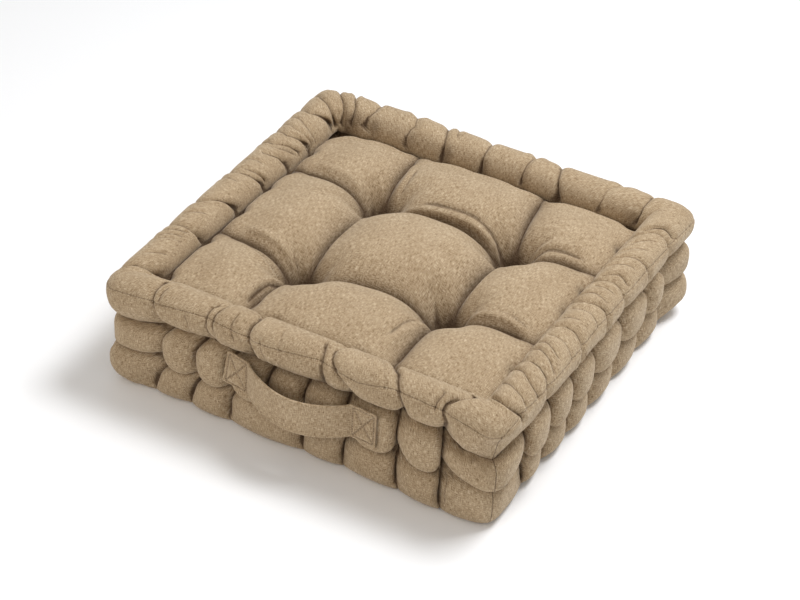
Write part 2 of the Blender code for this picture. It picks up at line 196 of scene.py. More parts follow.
# Folds across the roll, in order along each side: depth in mm, half width in mm, then (degrees round the roll
# from its inner foot, mm along the side). 90 is the crest, 180 the outer face.
FOLDS = {
    "front": (
        (4.5, 3.2, ((60, -161), (75, -157), (101, -152), (129, -148), (158, -144), (193, -141), (258, -141))),
        (1.3, 2.0, ((105, -141), (147, -137))),
        (1.0, 2.4, ((160, -108), (180, -104), (230, -105))),
        (3.2, 2.4, ((92, -91), (106, -92), (131, -91), (158, -89), (191, -88), (250, -89))),
        (3.6, 2.6, ((40, -87), (66, -86), (100, -84), (128, -84), (158, -82), (194, -80), (250, -80))),
        (1.2, 2.4, ((110, -65), (146, -63), (172, -58))),
        (4.8, 3.0, ((20, -54), (55, -52), (86, -48), (116, -48), (147, -47), (188, -42), (258, -42))),
        (0.9, 2.2, ((150, -33), (200, -27))),
        (0.8, 2.6, ((105, -17), (152, -14))),
        (3.8, 2.6, ((85, 24), (122, 26), (152, 27), (191, 29), (250, 29))),
        (4.2, 2.8, ((20, 52), (49, 48), (62, 42), (94, 34), (127, 35), (158, 42), (192, 54), (215, 58))),
        (0.8, 2.8, ((60, 83), (122, 86), (145, 88))),
        (4.5, 3.0, ((20, 98), (71, 97), (88, 99), (116, 99), (145, 101), (197, 107), (258, 106))),
        (2.0, 2.4, ((100, 144), (134, 137), (155, 135))),
        (4.5, 3.0, ((70, 178), (83, 169), (105, 155), (128, 146), (152, 143), (187, 147), (258, 146))),
    ),
    "right": (
        (2.6, 2.8, ((50, -194), (80, -188), (110, -178), (125, -174), (150, -167), (165, -165))),
        (1.2, 2.2, ((40, -168), (80, -162), (120, -157), (155, -158))),
        (1.4, 2.4, ((32, -142), (79, -138), (115, -139), (153, -137))),
        (3.0, 2.8, ((10, -130), (35, -126), (65, -119), (103, -116), (134, -116), (160, -120), (258, -122))),
        (1.5, 2.4, ((30, -105), (64, -99), (105, -100), (140, -104))),
        (1.1, 2.2, ((40, -88), (71, -86), (120, -90))),
        (0.9, 2.2, ((60, -73), (110, -71), (150, -74))),
        (2.3, 2.6, ((20, -64), (45, -59), (81, -52), (112, -50), (143, -52), (175, -56), (258, -58))),
        (0.9, 2.2, ((50, -40), (95, -35))),
        (0.9, 2.2, ((60, -21), (115, -18), (150, -21))),
        (2.5, 2.6, ((20, -6), (76, -6), (109, -2), (135, 0), (170, -4), (258, -6))),
        (1.2, 2.2, ((30, 12), (79, 13), (122, 8))),
        (0.9, 2.2, ((70, 26), (120, 24))),
        (4.0, 2.8, ((15, 42), (64, 40), (104, 40), (132, 38), (150, 35), (258, 36))),
        (1.8, 2.2, ((65, 50), (102, 53), (134, 48))),
        (1.1, 2.4, ((30, 70), (76, 72), (115, 71))),
        (1.7, 2.6, ((40, 84), (82, 88), (125, 86), (170, 84), (258, 84))),
        (0.9, 2.2, ((60, 103), (110, 104))),
        (1.0, 2.2, ((70, 118), (105, 122))),
        (4.0, 2.8, ((20, 142), (67, 140), (97, 141), (123, 138), (155, 133), (258, 130))),
        (2.6, 2.4, ((70, 150), (110, 150), (145, 145))),
    ),
    "back": (
        (3.0, 3.2, ((-4, -187), (31, -186), (64, -178), (109, -165), (150, -162))),
        (1.4, 4.0, ((2, -143), (34, -142), (78, -132), (180, -130))),
        (3.8, 3.0, ((-8, -92), (20, -87), (55, -80), (111, -68), (180, -66), (258, -66))),
        (2.2, 3.0, ((10, -44), (37, -43), (67, -41), (100, -39), (170, -38))),
        (3.4, 3.0, ((-10, 8), (42, 9), (69, 8), (114, 8), (258, 9))),
        (1.0, 2.2, ((80, 44), (140, 46))),
        (3.4, 3.0, ((-10, 59), (32, 58), (67, 57), (99, 57), (258, 58))),
        (1.9, 4.0, ((6, 109), (28, 108), (50, 102), (66, 95), (100, 92), (180, 92))),
        (3.0, 3.0, ((20, 161), (45, 156), (73, 143), (105, 134), (258, 130))),
        (2.4, 2.2, ((19, 184), (40, 179), (69, 170), (110, 163), (150, 160))),
        (2.8, 2.2, ((5, 194), (39, 190), (64, 186), (110, 182), (150, 180))),
    ),
    "left": (
        (3.2, 2.8, ((0, -194), (31, -191), (60, -187), (92, -180), (140, -178))),
        (4.0, 3.0, ((-10, -188), (31, -177), (60, -164), (89, -150), (138, -146), (258, -145))),
        (1.1, 2.2, ((10, -145), (70, -132), (130, -128))),
        (0.9, 2.2, ((10, -137), (80, -115), (140, -112))),
        (3.0, 2.8, ((-10, -130), (18, -124), (42, -116), (64, -107), (81, -100), (150, -98), (258, -98))),
        (1.6, 2.4, ((17, -106), (52, -92), (73, -82), (92, -75), (150, -72))),
        (1.2, 2.2, ((17, -99), (45, -86), (66, -76), (92, -68))),
        (2.8, 2.8, ((-12, -81), (15, -76), (44, -69), (70, -60), (92, -56))),
        (0.9, 2.2, ((70, -40), (120, -36))),
        (1.4, 2.2, ((20, -31), (40, -27), (65, -22), (90, -19))),
        (3.4, 2.8, ((-14, -27), (19, -24), (48, -17), (79, -12), (105, -10), (160, -8), (258, -8))),
        (1.0, 2.4, ((80, 6), (109, 5), (160, 3))),
        (3.8, 3.0, ((-14, 34), (1, 33), (42, 40), (77, 47), (98, 53), (258, 52))),
        (1.0, 2.2, ((70, 76), (115, 78))),
        (3.8, 3.0, ((-14, 103), (16, 106), (49, 107), (83, 103), (112, 100), (258, 98))),
        (1.4, 2.2, ((60, 115), (97, 112), (140, 110))),
        (1.0, 2.2, ((60, 124), (100, 121), (140, 122))),
        (0.9, 2.4, ((51, 133), (78, 130), (105, 129))),
        (1.0, 2.2, ((50, 160), (72, 160), (90, 159))),
        (4.0, 3.2, ((-6, 182), (20, 187), (38, 189), (65, 186), (95, 179), (150, 178))),
    ),
}
EDGE = PANEL_HALF
# the 4 by 4 points that the channels of the top run between: the ends on the rolled edge, and the tufts
NODES = {
    (0, 0): (-EDGE, -EDGE), (1, 0): (-0.074, -EDGE), (2, 0): (0.072, -EDGE), (3, 0): (EDGE, -EDGE),
    (0, 1): (-EDGE, -0.060), (1, 1): (-0.067, -0.072), (2, 1): (0.070, -0.057), (3, 1): (EDGE, -0.058),
    (0, 2): (-EDGE, 0.072), (1, 2): (-0.064, 0.066), (2, 2): (0.076, 0.062), (3, 2): (EDGE, 0.066),
    (0, 3): (-EDGE, EDGE), (1, 3): (-0.070, EDGE), (2, 3): (0.062, EDGE), (3, 3): (EDGE, EDGE),
}
TUFT_NODES = ((1, 1), (2, 1), (1, 2), (2, 2))
TUFTS = [NODES[node] for node in TUFT_NODES]
# start, end, height of the channel's floor between them
CHANNELS = (
    ((1, 2), (2, 2), 0.0880), ((1, 2), (1, 1), 0.0880), ((1, 1), (2, 1), 0.0880), ((2, 1), (2, 2), 0.0880),
    ((1, 2), (1, 3), 0.0935), ((2, 2), (2, 3), 0.0935), ((1, 1), (1, 0), 0.0935), ((2, 1), (2, 0), 0.0935),
    ((1, 2), (0, 2), 0.0935), ((1, 1), (0, 1), 0.0935), ((2, 2), (3, 2), 0.0935), ((2, 1), (3, 1), 0.0935),
)
# the lines of the mesh that run along the channels, on each side of the top
CHANNEL_LINES = {"front": (47, 119), "right": (54, 119), "back": (49, 121), "left": (49, 114)}
# Pleats of the top beside its channels: rise in mm, below 0 for a groove, half width in mm, a course in mm
PLEATS = (
    (2.0, 3.2, ((-140, -50), (-108, -54), (-88, -57), (-72, -62))),
    (-1.2, 2.5, ((-130, -68), (-108, -76), (-91, -79), (-80, -79))),
    (0.7, 3.0, ((-132, -76), (-112, -84), (-90, -88))),
    (1.7, 3.2, ((-62, -78), (-75, -96), (-82, -124), (-83, -152))),
    (-1.4, 2.4, ((-64, -84), (-76, -112), (-78, -135), (-79, -150))),
    (1.3, 2.8, ((-60, -84), (-64, -108), (-66, -130), (-62, -152))),
    (3.0, 2.6, ((-48, 70), (-7, 72), (25, 72), (50, 70), (70, 65))),
    (-1.2, 2.2, ((-30, 76), (2, 78), (32, 78), (55, 75), (72, 68))),
    (1.4, 3.5, ((82, 74), (97, 80), (121, 82), (142, 88))),
    (-1.0, 2.5, ((84, 70), (104, 75), (124, 75), (146, 76))),
    (1.3, 3.2, ((90, 66), (110, 70), (130, 70), (152, 72))),
    (0.8, 3.2, ((84, 80), (100, 92), (118, 98))),
    (2.2, 3.0, ((82, -51), (103, -48), (124, -48), (152, -53))),
    (1.0, 3.0, ((112, -40), (130, -39), (150, -44))),
    (1.3, 3.0, ((66, -72), (63, -104), (58, -128), (60, -152))),
    (0.8, 3.2, ((54, -84), (46, -118), (44, -142))),
    (-0.9, 2.5, ((60, -80), (55, -110), (52, -132))),
    (1.4, 3.0, ((-58, 80), (-57, 108), (-62, 130), (-60, 152))),
    (-1.0, 2.5, ((-54, 84), (-52, 106), (-54, 126))),
    (1.2, 3.2, ((-78, 74), (-104, 80), (-130, 82), (-150, 84))),
    (1.1, 3.0, ((-60, 50), (-57, 20), (-58, -20), (-61, -50))),
    (1.0, 3.0, ((80, 46), (82, 16), (80, -16), (76, -40))),
)
# Puckers of the side band at its corners: side, depth in mm, then a course along the side and up, in mm
PUCKERS = (
    ("front", 2.6, ((168, 64), (176, 67), (190, 72), (200, 73))),
    ("right", 2.0, ((-200, 73), (-192, 77))),
    ("front", 1.8, ((192, 46), (200, 47))),
    ("right", 2.6, ((-200, 47), (-190, 46), (-178, 43))),
    ("front", 2.4, ((154, 40), (150, 28), (149, 16), (150, 5))),
    ("front", 2.0, ((143, 34), (140, 22), (141, 8))),
    ("front", 1.6, ((-190, 66), (-178, 70))),
    ("right", 1.6, ((168, 60), (184, 62), (196, 66))),
)
# where the strap's ends press the front flat: left, right, low, high, then how far back and how softly
STRAP_SEATS = ((-0.0675, -0.0440, 0.0500, 0.0870), (0.0572, 0.0820, 0.0455, 0.0815))
SEAT_FACE, SEAT_EDGE, SEAT_REACH = -0.1964, 0.0120, 0.016


def smooth(value):
    """0 below 0, 1 above 1 and an even bend between them."""
    value = np.clip(value, 0.0, 1.0)
    return value * value * (3.0 - 2.0 * value)


def eased(value, start, end):
    """0 at start and 1 at end, whichever of the two is the larger."""
    return smooth((value - start) / (end - start))


def mound(away, width, power=2):
    """1 on a line or point, falling away all round it."""
    return np.exp(-((away / width) ** power))


def listed(side, name, along):
    """The columns of one of a side's tables at each place along it. Its first column is that place, in mm."""
    places, *columns = zip(*SIDES[side][name])
    return [np.interp(1000 * along, places, column) for column in columns]


def spaced(stops, places):
    """Lines of the mesh between stops given by their place on the side, a line to each stop."""
    marks = np.round((np.asarray(stops) + HALF) / (2 * HALF) * COLUMNS)
    for _ in range(4):
        for i in range(1, len(marks)):
            marks[i] = max(marks[i], marks[i - 1] + 1)
        marks[-1] = COLUMNS
        for i in range(len(marks) - 2, -1, -1):
            marks[i] = min(marks[i], marks[i + 1] - 1)
    return np.interp(np.arange(COLUMNS + 1), marks, places)


def gathered(share, closer):
    """Even steps from 0 to 1, moved closer together at both ends."""
    return share - closer * np.sin(2 * math.pi * share) / (2 * math.pi)


def drawn_to(stops, even, closer):
    """Evenly spaced lines of the mesh moved closer together at the stops, but not next to the corners."""
    after = np.clip(np.searchsorted(stops, even - 1e-9), 1, len(stops) - 1)
    long = stops[after] - stops[after - 1]
    inner = np.where((after > 1) & (after < len(stops) - 1), closer, 0.0)
    return stops[after - 1] + long * gathered((even - stops[after - 1]) / long, inner)


def fold_line(course, turn):
    """Where a fold lies along its side at an angle round the roll, in metres."""
    return np.interp(turn, [angle for angle, _ in course], [0.001 * place for _, place in course])


def lines_on_roll(side, turn):
    """Lines of the mesh on the roll, one of them along each fold."""
    folds = [course for _, _, course in FOLDS[side]]
    middle = [-HALF, *(fold_line(course, CREST) for course in folds), HALF]
    here = [-HALF]
    for course in folds:
        place = fold_line(course, turn)
        for _ in range(3):
            place = fold_line(course, turned(side, place, turn))
        here.append(place)
    here = np.array([*here, HALF])
    return drawn_to(here, spaced(middle, here), FOLD_CLOSER)


def lines_on_puffs(side):
    """Lines of the mesh on the rows of puffs, one of them along each valley."""
    stops = np.array([-HALF, *SIDES[side]["valley"], HALF])
    return drawn_to(stops, spaced(stops, stops), VALLEY_CLOSER)


def lines_at_border(side):
    """Lines of the mesh where the top meets the roll, close together at the channels' ends."""
    marks = [0, *CHANNEL_LINES[side], COLUMNS]
    stops = np.array([-PANEL_HALF, *SIDES[side]["channel"], PANEL_HALF]) * HALF / PANEL_HALF
    places = [stops[0]]
    for i in range(3):
        share = np.arange(1, marks[i + 1] - marks[i] + 1) / (marks[i + 1] - marks[i])
        places.extend(stops[i] + (stops[i + 1] - stops[i]) * gathered(share, CHANNEL_CLOSER))
    return np.array(places)


def rim_point(side, along, inset):
    """Points of the rounded square that lies inset inside the outer face, in plan."""
    outward = SIDES[side]["outward"]
    forward = (-outward[1], outward[0])
    half = HALF - inset
    bend = (HALF - CORNER_R) / HALF
    part = along / HALF
    radius = np.maximum(CORNER_R - CORNER_TIGHTER * inset, 0.0)
    reach = half - radius
    angle = math.radians(45.0) * np.clip((np.abs(part) - bend) / (1.0 - bend), 0.0, 1.0)
    round_corner = np.abs(part) > bend
    x = np.where(round_corner, np.copysign(reach + radius * np.sin(angle), part), reach * part / bend)
    out = np.where(round_corner, reach + radius * np.cos(angle), half)
    square = smooth(inset / PANEL_INSET)
    x = x + (half * part - x) * square
    out = out + (half - out) * square
    return x * forward[0] + out * outward[0], x * forward[1] + out * outward[1]


def puff_share(places, along):
    """-1 at the valley before, 0 at the middle of the puff and 1 at the valley after it."""
    stops = np.array([-2 * HALF - places[0], *places, 2 * HALF - places[-1]])
    after = np.clip(np.searchsorted(stops, along - 1e-6), 1, len(stops) - 1)
    return np.clip(2.0 * (along - stops[after - 1]) / (stops[after] - stops[after - 1]) - 1.0, -1, 1)


def sagging(share, roundness):
    """1 where share is 1, falling to 0 steeply at first and round below, as between two filled puffs."""
    return 1.0 - (1.0 - share ** roundness[0]) ** roundness[1]


def valley_at(places, along):
    """1 in a valley between two puffs and 0 at the middle of a puff."""
    return sagging(np.abs(puff_share(places, along)), VALLEY_ROUND)


def corner_shift(points):
    """The square pulled a little out of true, each corner its own way."""
    moved = points.copy()
    for side_x, side_y, shift_x, shift_y, *_ in CORNERS:
        share = (1.0 + side_x * points[:, 0] / HALF) * (1.0 + side_y * points[:, 1] / HALF) / 4.0
        moved[:, 0] += share * shift_x
        moved[:, 1] += share * shift_y
    return moved


def corner_draw(x, y, part):
    """How far the band draws in near each corner: part 0 the middle puffs, 1 the low puffs, 2 their foot."""
    drawn = 0.0
    for side_x, side_y, _, _, *draws in CORNERS:
        away = np.hypot(x - side_x * HALF, y - side_y * HALF)
        drawn = drawn + draws[part] * smooth(1.0 - away / CORNER_REACH)
    return drawn


def turned(side, along, turn):
    """Degrees round the roll, shifted so that one line of the mesh runs along the seam."""
    (seam,) = listed(side, "seam", along)
    over = ROLL_START + (seam - ROLL_START) * (turn - ROLL_START) / (SEAM_TURN - ROLL_START)
    under = seam + (ROLL_END - seam) * (turn - SEAM_TURN) / (ROLL_END - SEAM_TURN)
    return np.where(turn < SEAM_TURN, over, under)


def tucked(side, along):
    """How much higher than usual the upper and the lower line of side stitches run here, in metres."""
    return [0.001 * column for column in listed(side, "tuck", along)]


def off_ends(turn, inner, outer=EDGE_TURNS):
    """0 at the roll's two stitched edges and 1 so many degrees in from them."""
    return eased(turn, ROLL_START, ROLL_START + inner) * eased(turn, ROLL_END, ROLL_END - outer)


def along_fold(course, turn):
    """1 along a fold, dying out beyond its two ends."""
    first, last = course[0][0], course[-1][0]
    return eased(turn, first - FOLD_ENDS, first) * eased(turn, last + FOLD_ENDS, last)


def gathers(side, along, turn):
    """How far in the deep folds press the roll, in metres: soft troughs, each lapped over from one side."""
    pressed = 0.0
    for depth, width, course in FOLDS[side]:
        if depth > DEEP_FOLD:
            away = 1000 * (along - fold_line(course, turn))
            steep = mound(np.abs(away), width, FOLD_ROUND)
            gentle = LAP[0] * mound(np.abs(away), LAP[1], LAP[2]) + (1 - LAP[0]) * steep
            lapped = np.where(FOLD_FACES[side] * away < 0, gentle, steep)
            below = HANG[0] * eased(turn, *HANG_TURNS) * mound(away, HANG[1])
            shape = lapped * (PINCH[0] + PINCH[1] * (1 - eased(turn, *PINCH_TURNS))) + below
            pressed = pressed + 0.001 * depth * along_fold(course, turn) * shape
    return pressed


def wrinkles(side, along, turn):
    """How far in the folds crease the roll's cloth, in metres: sharp lines with a raised lip each side."""
    pressed = 0.0
    for depth, width, course in FOLDS[side]:
        away = 1000 * np.abs(along - fold_line(course, turn))
        shape = mound(away, width, FOLD_ROUND) - LIP_RISE * mound(away - LIP_AWAY * width, width)
        scale = CREASE_SCALE if depth > DEEP_FOLD else FINE_SCALE
        pressed = pressed + scale * 0.001 * depth * along_fold(course, turn) * shape
    return pressed


def roll_ring(side, row):
    """Along, inset, height and degrees round of one line of the roll, with its deep folds pressed in."""
    turn = ROLL_START + ROLL_TURN * row
    border = lines_at_border(side)
    along = border + (lines_on_roll(side, turn) - border) * eased(turn, *TOP_TURNS)
    along = along + (lines_on_puffs(side) - along) * eased(turn, *PUFF_TURNS)
    turn = turned(side, along, turn)
    larger, higher = (0.001 * column for column in listed(side, "lift", along))
    radius = ROLL_RADIUS + larger - FOLD_SCALE * gathers(side, along, turn) * off_ends(turn, FOLD_TURNS)
    angle = np.radians(turn)
    stitch_up, _ = tucked(side, along)
    inset = ROLL_CENTRE[0] - ROLL_SPREAD * larger + radius * np.cos(angle)
    height = ROLL_CENTRE[1] + ROLL_SPREAD * larger + higher * off_ends(turn, LIFT_TURNS, LIFT_TURNS)
    height = height + radius * np.sin(angle) + stitch_up * smooth(-np.sin(angle))
    if side in NOSE:
        reach, faces = NOSE[side]
        near = smooth(1 - (HALF + faces * along) / reach)
        inset = inset + NOSE_DRAW * eased(turn, *NOSE_TURNS) * near
    foot = eased(turn, *FOOT_TURNS)
    pulled = UPPER_STITCH[0] + STITCH_DEPTH * valley_at(SIDES[side]["valley"], along)
    inset = inset + (pulled - inset) * foot
    height = height + (UPPER_STITCH[1] + stitch_up - height) * foot
    return along, inset, height, turn


def puff_ring(side, tier, row):
    """Along, inset and height of one line of a row of puffs."""
    table, low = SIDES[side], tier == "low"
    along = lines_on_puffs(side)
    across, dip = np.abs(puff_share(table["valley"], along)), valley_at(table["valley"], along)
    if low and "low_valley" in table:
        apart = eased(row, 0, APART_BY)
        across = across + (np.abs(puff_share(table["low_valley"], along)) - across) * apart
        dip = dip + (valley_at(table["low_valley"], along) - dip) * apart
    share = -math.cos(math.pi * row)
    level = abs(share)
    if low:
        (top_inset, top), (foot_inset, foot) = LOWER_STITCH, (SOLE_INSET, 0.0)
    else:
        (top_inset, top), (foot_inset, foot) = UPPER_STITCH, LOWER_STITCH
    # the low puffs stand on the floor, so they keep their width down to their foot
    standing = eased(share, *STANDING) if low else 0.0
    reach, foot_deep = PUFF_REACH[tier], FOOT_DEEP[tier]
    bowed = (1 - level ** 2) * across ** 3 * (np.abs(along) < BOW_END)
    along = along + PUFF_BOW * PUFF_FACES[side] * bowed
    domed = (1.0 - np.minimum(across ** DOME_ROUND[0] + level ** DOME_ROUND[1], 1.0)) ** DOME_ROUND[2]
    upright = (1.0 - (STANDING_ROUND[0] * level) ** STANDING_ROUND[1]) ** STANDING_ROUND[2]
    bulge = domed * (1 - standing) + upright * (1.0 - VALLEY_NARROWER * dip) * standing
    upper, lower = tucked(side, along)
    swung = STITCH_SWING * (across ** 2 - 0.5) + lower
    top, foot = (top + swung, foot) if low else (top + upper, foot + swung)
    deep = (PIT_SHARE + (1 - PIT_SHARE) * level ** PIT_ROUND) * (1 + foot_deep + share * (foot_deep - 1)) / 2
    base = (top_inset + foot_inset) / 2 + share * (foot_inset - top_inset) / 2 + STITCH_DEPTH * dip * deep
    inset = base - (base - reach) * bulge
    height = (top + foot) / 2 - share * (top - foot) / 2
    if low:
        inset = inset + 0.001 * listed(side, "low", along)[0] * eased(row, 0, INSET_BY)
        leaning = np.interp(along, table["valley"], table["lean"]) * (1.0 + share) / 2.0
        along = along + leaning * (1 - eased(np.abs(along), *LEAN_ENDS))
    else:
        height = height - PUFF_HANG * domed * eased(share, *HANG_LEVELS)
    corner = rim_point(side, along, inset)
    if low:
        belly = (0.5 + 0.5 * eased(row, 0, BELLY_AT) * eased(row, 1, BELLY_AT)) * eased(row, 1, FOOT_AT)
        inset = inset + corner_draw(*corner, 1) * belly + corner_draw(*corner, 2) * eased(row, BELLY_AT, 1)
    else:
        inset = inset + corner_draw(*corner, 0) * (1.0 - level ** DRAW_ROUND[0]) ** DRAW_ROUND[1]
    return along, inset, height


def panel_height(x, y):
    """The crowned top, drawn down along its channels and to its tufts."""
    across, ahead = (1.0 - np.minimum(np.abs(v) / PANEL_HALF, 1) ** PANEL_ROUND[0] for v in (x, y))
    top = PANEL_EDGE_Z + CROWN * (across ** PANEL_ROUND[1] * ahead ** PANEL_ROUND[1])
    whole, low, weight = 1.0, 0.0, 1e-9
    for a, b, middle in CHANNELS:
        start, end = NODES[a], NODES[b]
        run = np.subtract(end, start)
        long = math.hypot(*run)
        share = np.clip(((x - start[0]) * run[0] + (y - start[1]) * run[1]) / long**2, 0, 1)
        away = np.hypot(x - start[0] - run[0] * share, y - start[1] - run[1] * share)
        near = sagging(np.clip(1.0 - away / CHANNEL_REACH, 0, 1), FLANK_ROUND)
        to_tuft = long * (np.minimum(share, 1 - share) if b in TUFT_NODES else share)
        floor = TUFT_Z + (middle - TUFT_Z) * (1 - np.exp(-to_tuft / TUFT_FALL))
        whole, low, weight = whole * (1 - near), low + floor * near**4, weight + near**4
    return np.minimum(top, top * whole + low / weight * (1 - whole))


def build_panel():
    """The top as nine puffs, each a block of the mesh, so that every channel runs along its own line."""
    n = COLUMNS
    marks_x, marks_y = [0, *CHANNEL_LINES["front"], n], [0, *CHANNEL_LINES["right"], n]
    x, y, pin = np.zeros((3, n + 1, n + 1))
    for a in range(3):
        for b in range(3):
            i, j = slice(marks_x[a], marks_x[a + 1] + 1), slice(marks_y[b], marks_y[b + 1] + 1)
            s = gathered(np.linspace(0, 1, i.stop - i.start), CHANNEL_CLOSER)[:, None]
            t = gathered(np.linspace(0, 1, j.stop - j.start), CHANNEL_CLOSER)[None, :]
            for axis, out in ((0, x), (1, y)):
                near_edge = NODES[a, b][axis] * (1 - s) + NODES[a + 1, b][axis] * s
                far_edge = NODES[a, b + 1][axis] * (1 - s) + NODES[a + 1, b + 1][axis] * s
                out[i, j] = near_edge * (1 - t) + far_edge * t
    pin[marks_x] = pin[:, marks_y] = 1
    for tuft in TUFTS:
        pin[np.hypot(x - tuft[0], y - tuft[1]) < TUFT_R] = 1
    return x, y, panel_height(x, y), pin


def ring_of(side, tier, row):
    """One side's share of a line round the band: its points and what the filling and the cloth need there."""
    n, table, share = COLUMNS, SIDES[side], row / ROWS[tier]
    turn, pinned, crevice = np.full(n + 1, ROLL_END), np.zeros(n + 1), np.zeros(n + 1)
    if tier == "roll":
        along, inset, height, turn = roll_ring(side, share)
        for depth, _, course in FOLDS[side]:
            on_line = (np.abs(along - fold_line(course, turn)) < ON_FOLD) & (depth > DEEP_FOLD)
            pinned[on_line & (turn >= course[0][0]) & (turn <= course[-1][0])] = 1
        spare, crevice = table["spare"], eased(turn, *CREVICE_TURNS)
    elif tier == "sole":
        along, inset, height = puff_ring(side, "low", 1.0)
        inset = inset + BAND_LONG["sole"] * share
        pinned, spare = np.ones(n + 1), 0.0
    else:
        along, inset, height = puff_ring(side, tier, share)
        valleys = table.get("low_valley", table["valley"]) if tier == "low" else table["valley"]
        mesh_lines, spare = lines_on_puffs(side), PUFF_SPARE
        pinned = (np.abs(puff_share(valleys, mesh_lines)) > ON_VALLEY).astype(float)
        to_stitches = (1 - share if tier == "low" else abs(1 - 2 * share)) ** CREVICE_FALL
        crevice = np.maximum(valley_at(valleys, mesh_lines) ** 2, to_stitches)
    if share == 1:
        pinned = np.ones(n + 1)
    seam = np.full(n + 1, FAR_OFF)
    if tier == "roll":
        seam = np.radians(turn - listed(side, "seam", along)[0]) * ROLL_RADIUS
    number = list(SIDES).index(side)
    px, py = rim_point(side, along, inset)
    roll_row = row if tier == "roll" else 0
    whole = {
        "points": (px, py, height), "round": (number, along, turn, roll_row), "pins": pinned,
        "spare": np.full(n + 1, spare), "seam": seam, "crevice": crevice,
        "course": along + HALF * (1 + 2 * number),
    }
    for name in ("points", "round"):
        whole[name] = np.stack(np.broadcast_arrays(*whole[name]), -1)
    return {name: values[:-1] for name, values in whole.items()}


def build_cover():
    """Points and faces of the top and the band, from the top down, with their places on the cloth."""
    n, many = COLUMNS, (COLUMNS + 1) ** 2
    x, y, z, pin = build_panel()
    cloth = {
        "points": [np.stack([x, y, z], -1).reshape(-1, 3)], "pins": [pin.ravel()],
        "spare": [np.full(many, PANEL_SPARE)], "round": [np.tile([-1.0, 0, 0, 0], (many, 1))],
        "seam": [np.full(many, -FAR_OFF)], "crevice": [np.zeros(many)],
    }
    index, flat = np.arange(many).reshape(n + 1, n + 1), np.stack([x, y], -1)
    less, more = slice(0, -1), slice(1, None)
    quads = ((less, less), (more, less), (more, more), (less, more))
    faces = [np.stack([index[q] for q in quads], -1).reshape(-1, 4)]
    places = [np.stack([flat[q] for q in quads], -2).reshape(-1, 4, 2)]
    ring = np.concatenate([index[:n, 0], index[n, :n], index[n:0:-1, n], index[0, n:0:-1]])
    count, down, above = many, 0.0, None
    for tier, rows in ROWS.items():
        for row in range(1, rows + 1):
            sides = [ring_of(side, tier, row) for side in SIDES]
            for name, values in cloth.items():
                values.append(np.concatenate([part[name] for part in sides]))
            course = np.append(np.concatenate([part["course"] for part in sides]), 8 * HALF)
            above = course if above is None else above
            below = down + BAND_LONG[tier] / rows
            new = np.arange(count, count + 4 * n)
            faces.append(np.stack([ring, new, np.roll(new, -1), np.roll(ring, -1)], -1))
            corners = ((above[:-1], down), (course[:-1], below), (course[1:], below), (above[1:], down))
            places.append(np.stack([np.stack([s, np.full(4 * n, d)], -1) for s, d in corners], -2))
            ring, count, down, above = new, count + 4 * n, below, course
    return cloth, faces, places, ring, count


def add_underside(points, faces, places, ring, count):
    """The underside in cells twice as large, with a dimple under each tuft."""
    half = COLUMNS // 2
    edge = points[-1][::2] * (1 - SOLE_SHRINK, 1 - SOLE_SHRINK, 1)
    grid = np.zeros((half + 1, half + 1, 3))
    index = np.full((half + 1, half + 1), -1)
    border = [(i, 0) for i in range(half)] + [(half, j) for j in range(half)]
    border += [(i, half) for i in range(half, 0, -1)] + [(0, j) for j in range(half, 0, -1)]
    for k, (i, j) in enumerate(border):
        grid[i, j], index[i, j] = edge[k], count + k
    points.append(edge)
    inner = np.array([index[i, j] for i, j in border])
    faces.append(np.stack([ring[0::2], inner, np.roll(inner, -1), ring[1::2]], -1))
    triangles = np.stack([ring[1::2], np.roll(inner, -1), np.roll(ring, -2)[0::2]], -1)
    count += len(border)
    u = np.linspace(0, 1, half + 1)[:, None, None]
    v = np.linspace(0, 1, half + 1)[None, :, None]
    sheet = grid[:, :1] * (1 - v) + grid[:, -1:] * v + grid[:1] * (1 - u) + grid[-1:] * u
    near_side = grid[0, 0] * (1 - u) * (1 - v) + grid[-1, 0] * u * (1 - v)
    sheet = sheet - (near_side + grid[0, -1] * (1 - u) * v + grid[-1, -1] * u * v)
    for tuft in TUFTS:
        away = np.hypot(sheet[..., 0] - tuft[0], sheet[..., 1] - tuft[1])
        sheet[..., 2] += DIMPLE[0] * np.clip(1 - away / DIMPLE[1], 0, 1) ** DIMPLE[2]
    free = index < 0
    index[free] = np.arange(count, count + free.sum())
    points.append(sheet[free])
    corners = [index[:-1, :-1], index[:-1, 1:], index[1:, 1:], index[1:, :-1]]
    faces.append(np.stack(corners, -1).reshape(-1, 4))
    whole = np.concatenate(points)[:, :2]
    places.append(whole[np.concatenate(faces[-2:])] + (0, 1))
    return triangles, whole[triangles] + (0, 1)


def add_object(name, mesh):
    """An object that shows a mesh, in the scene."""
    made = bpy.data.objects.new(name, mesh)
    bpy.context.scene.collection.objects.link(made)
    return made


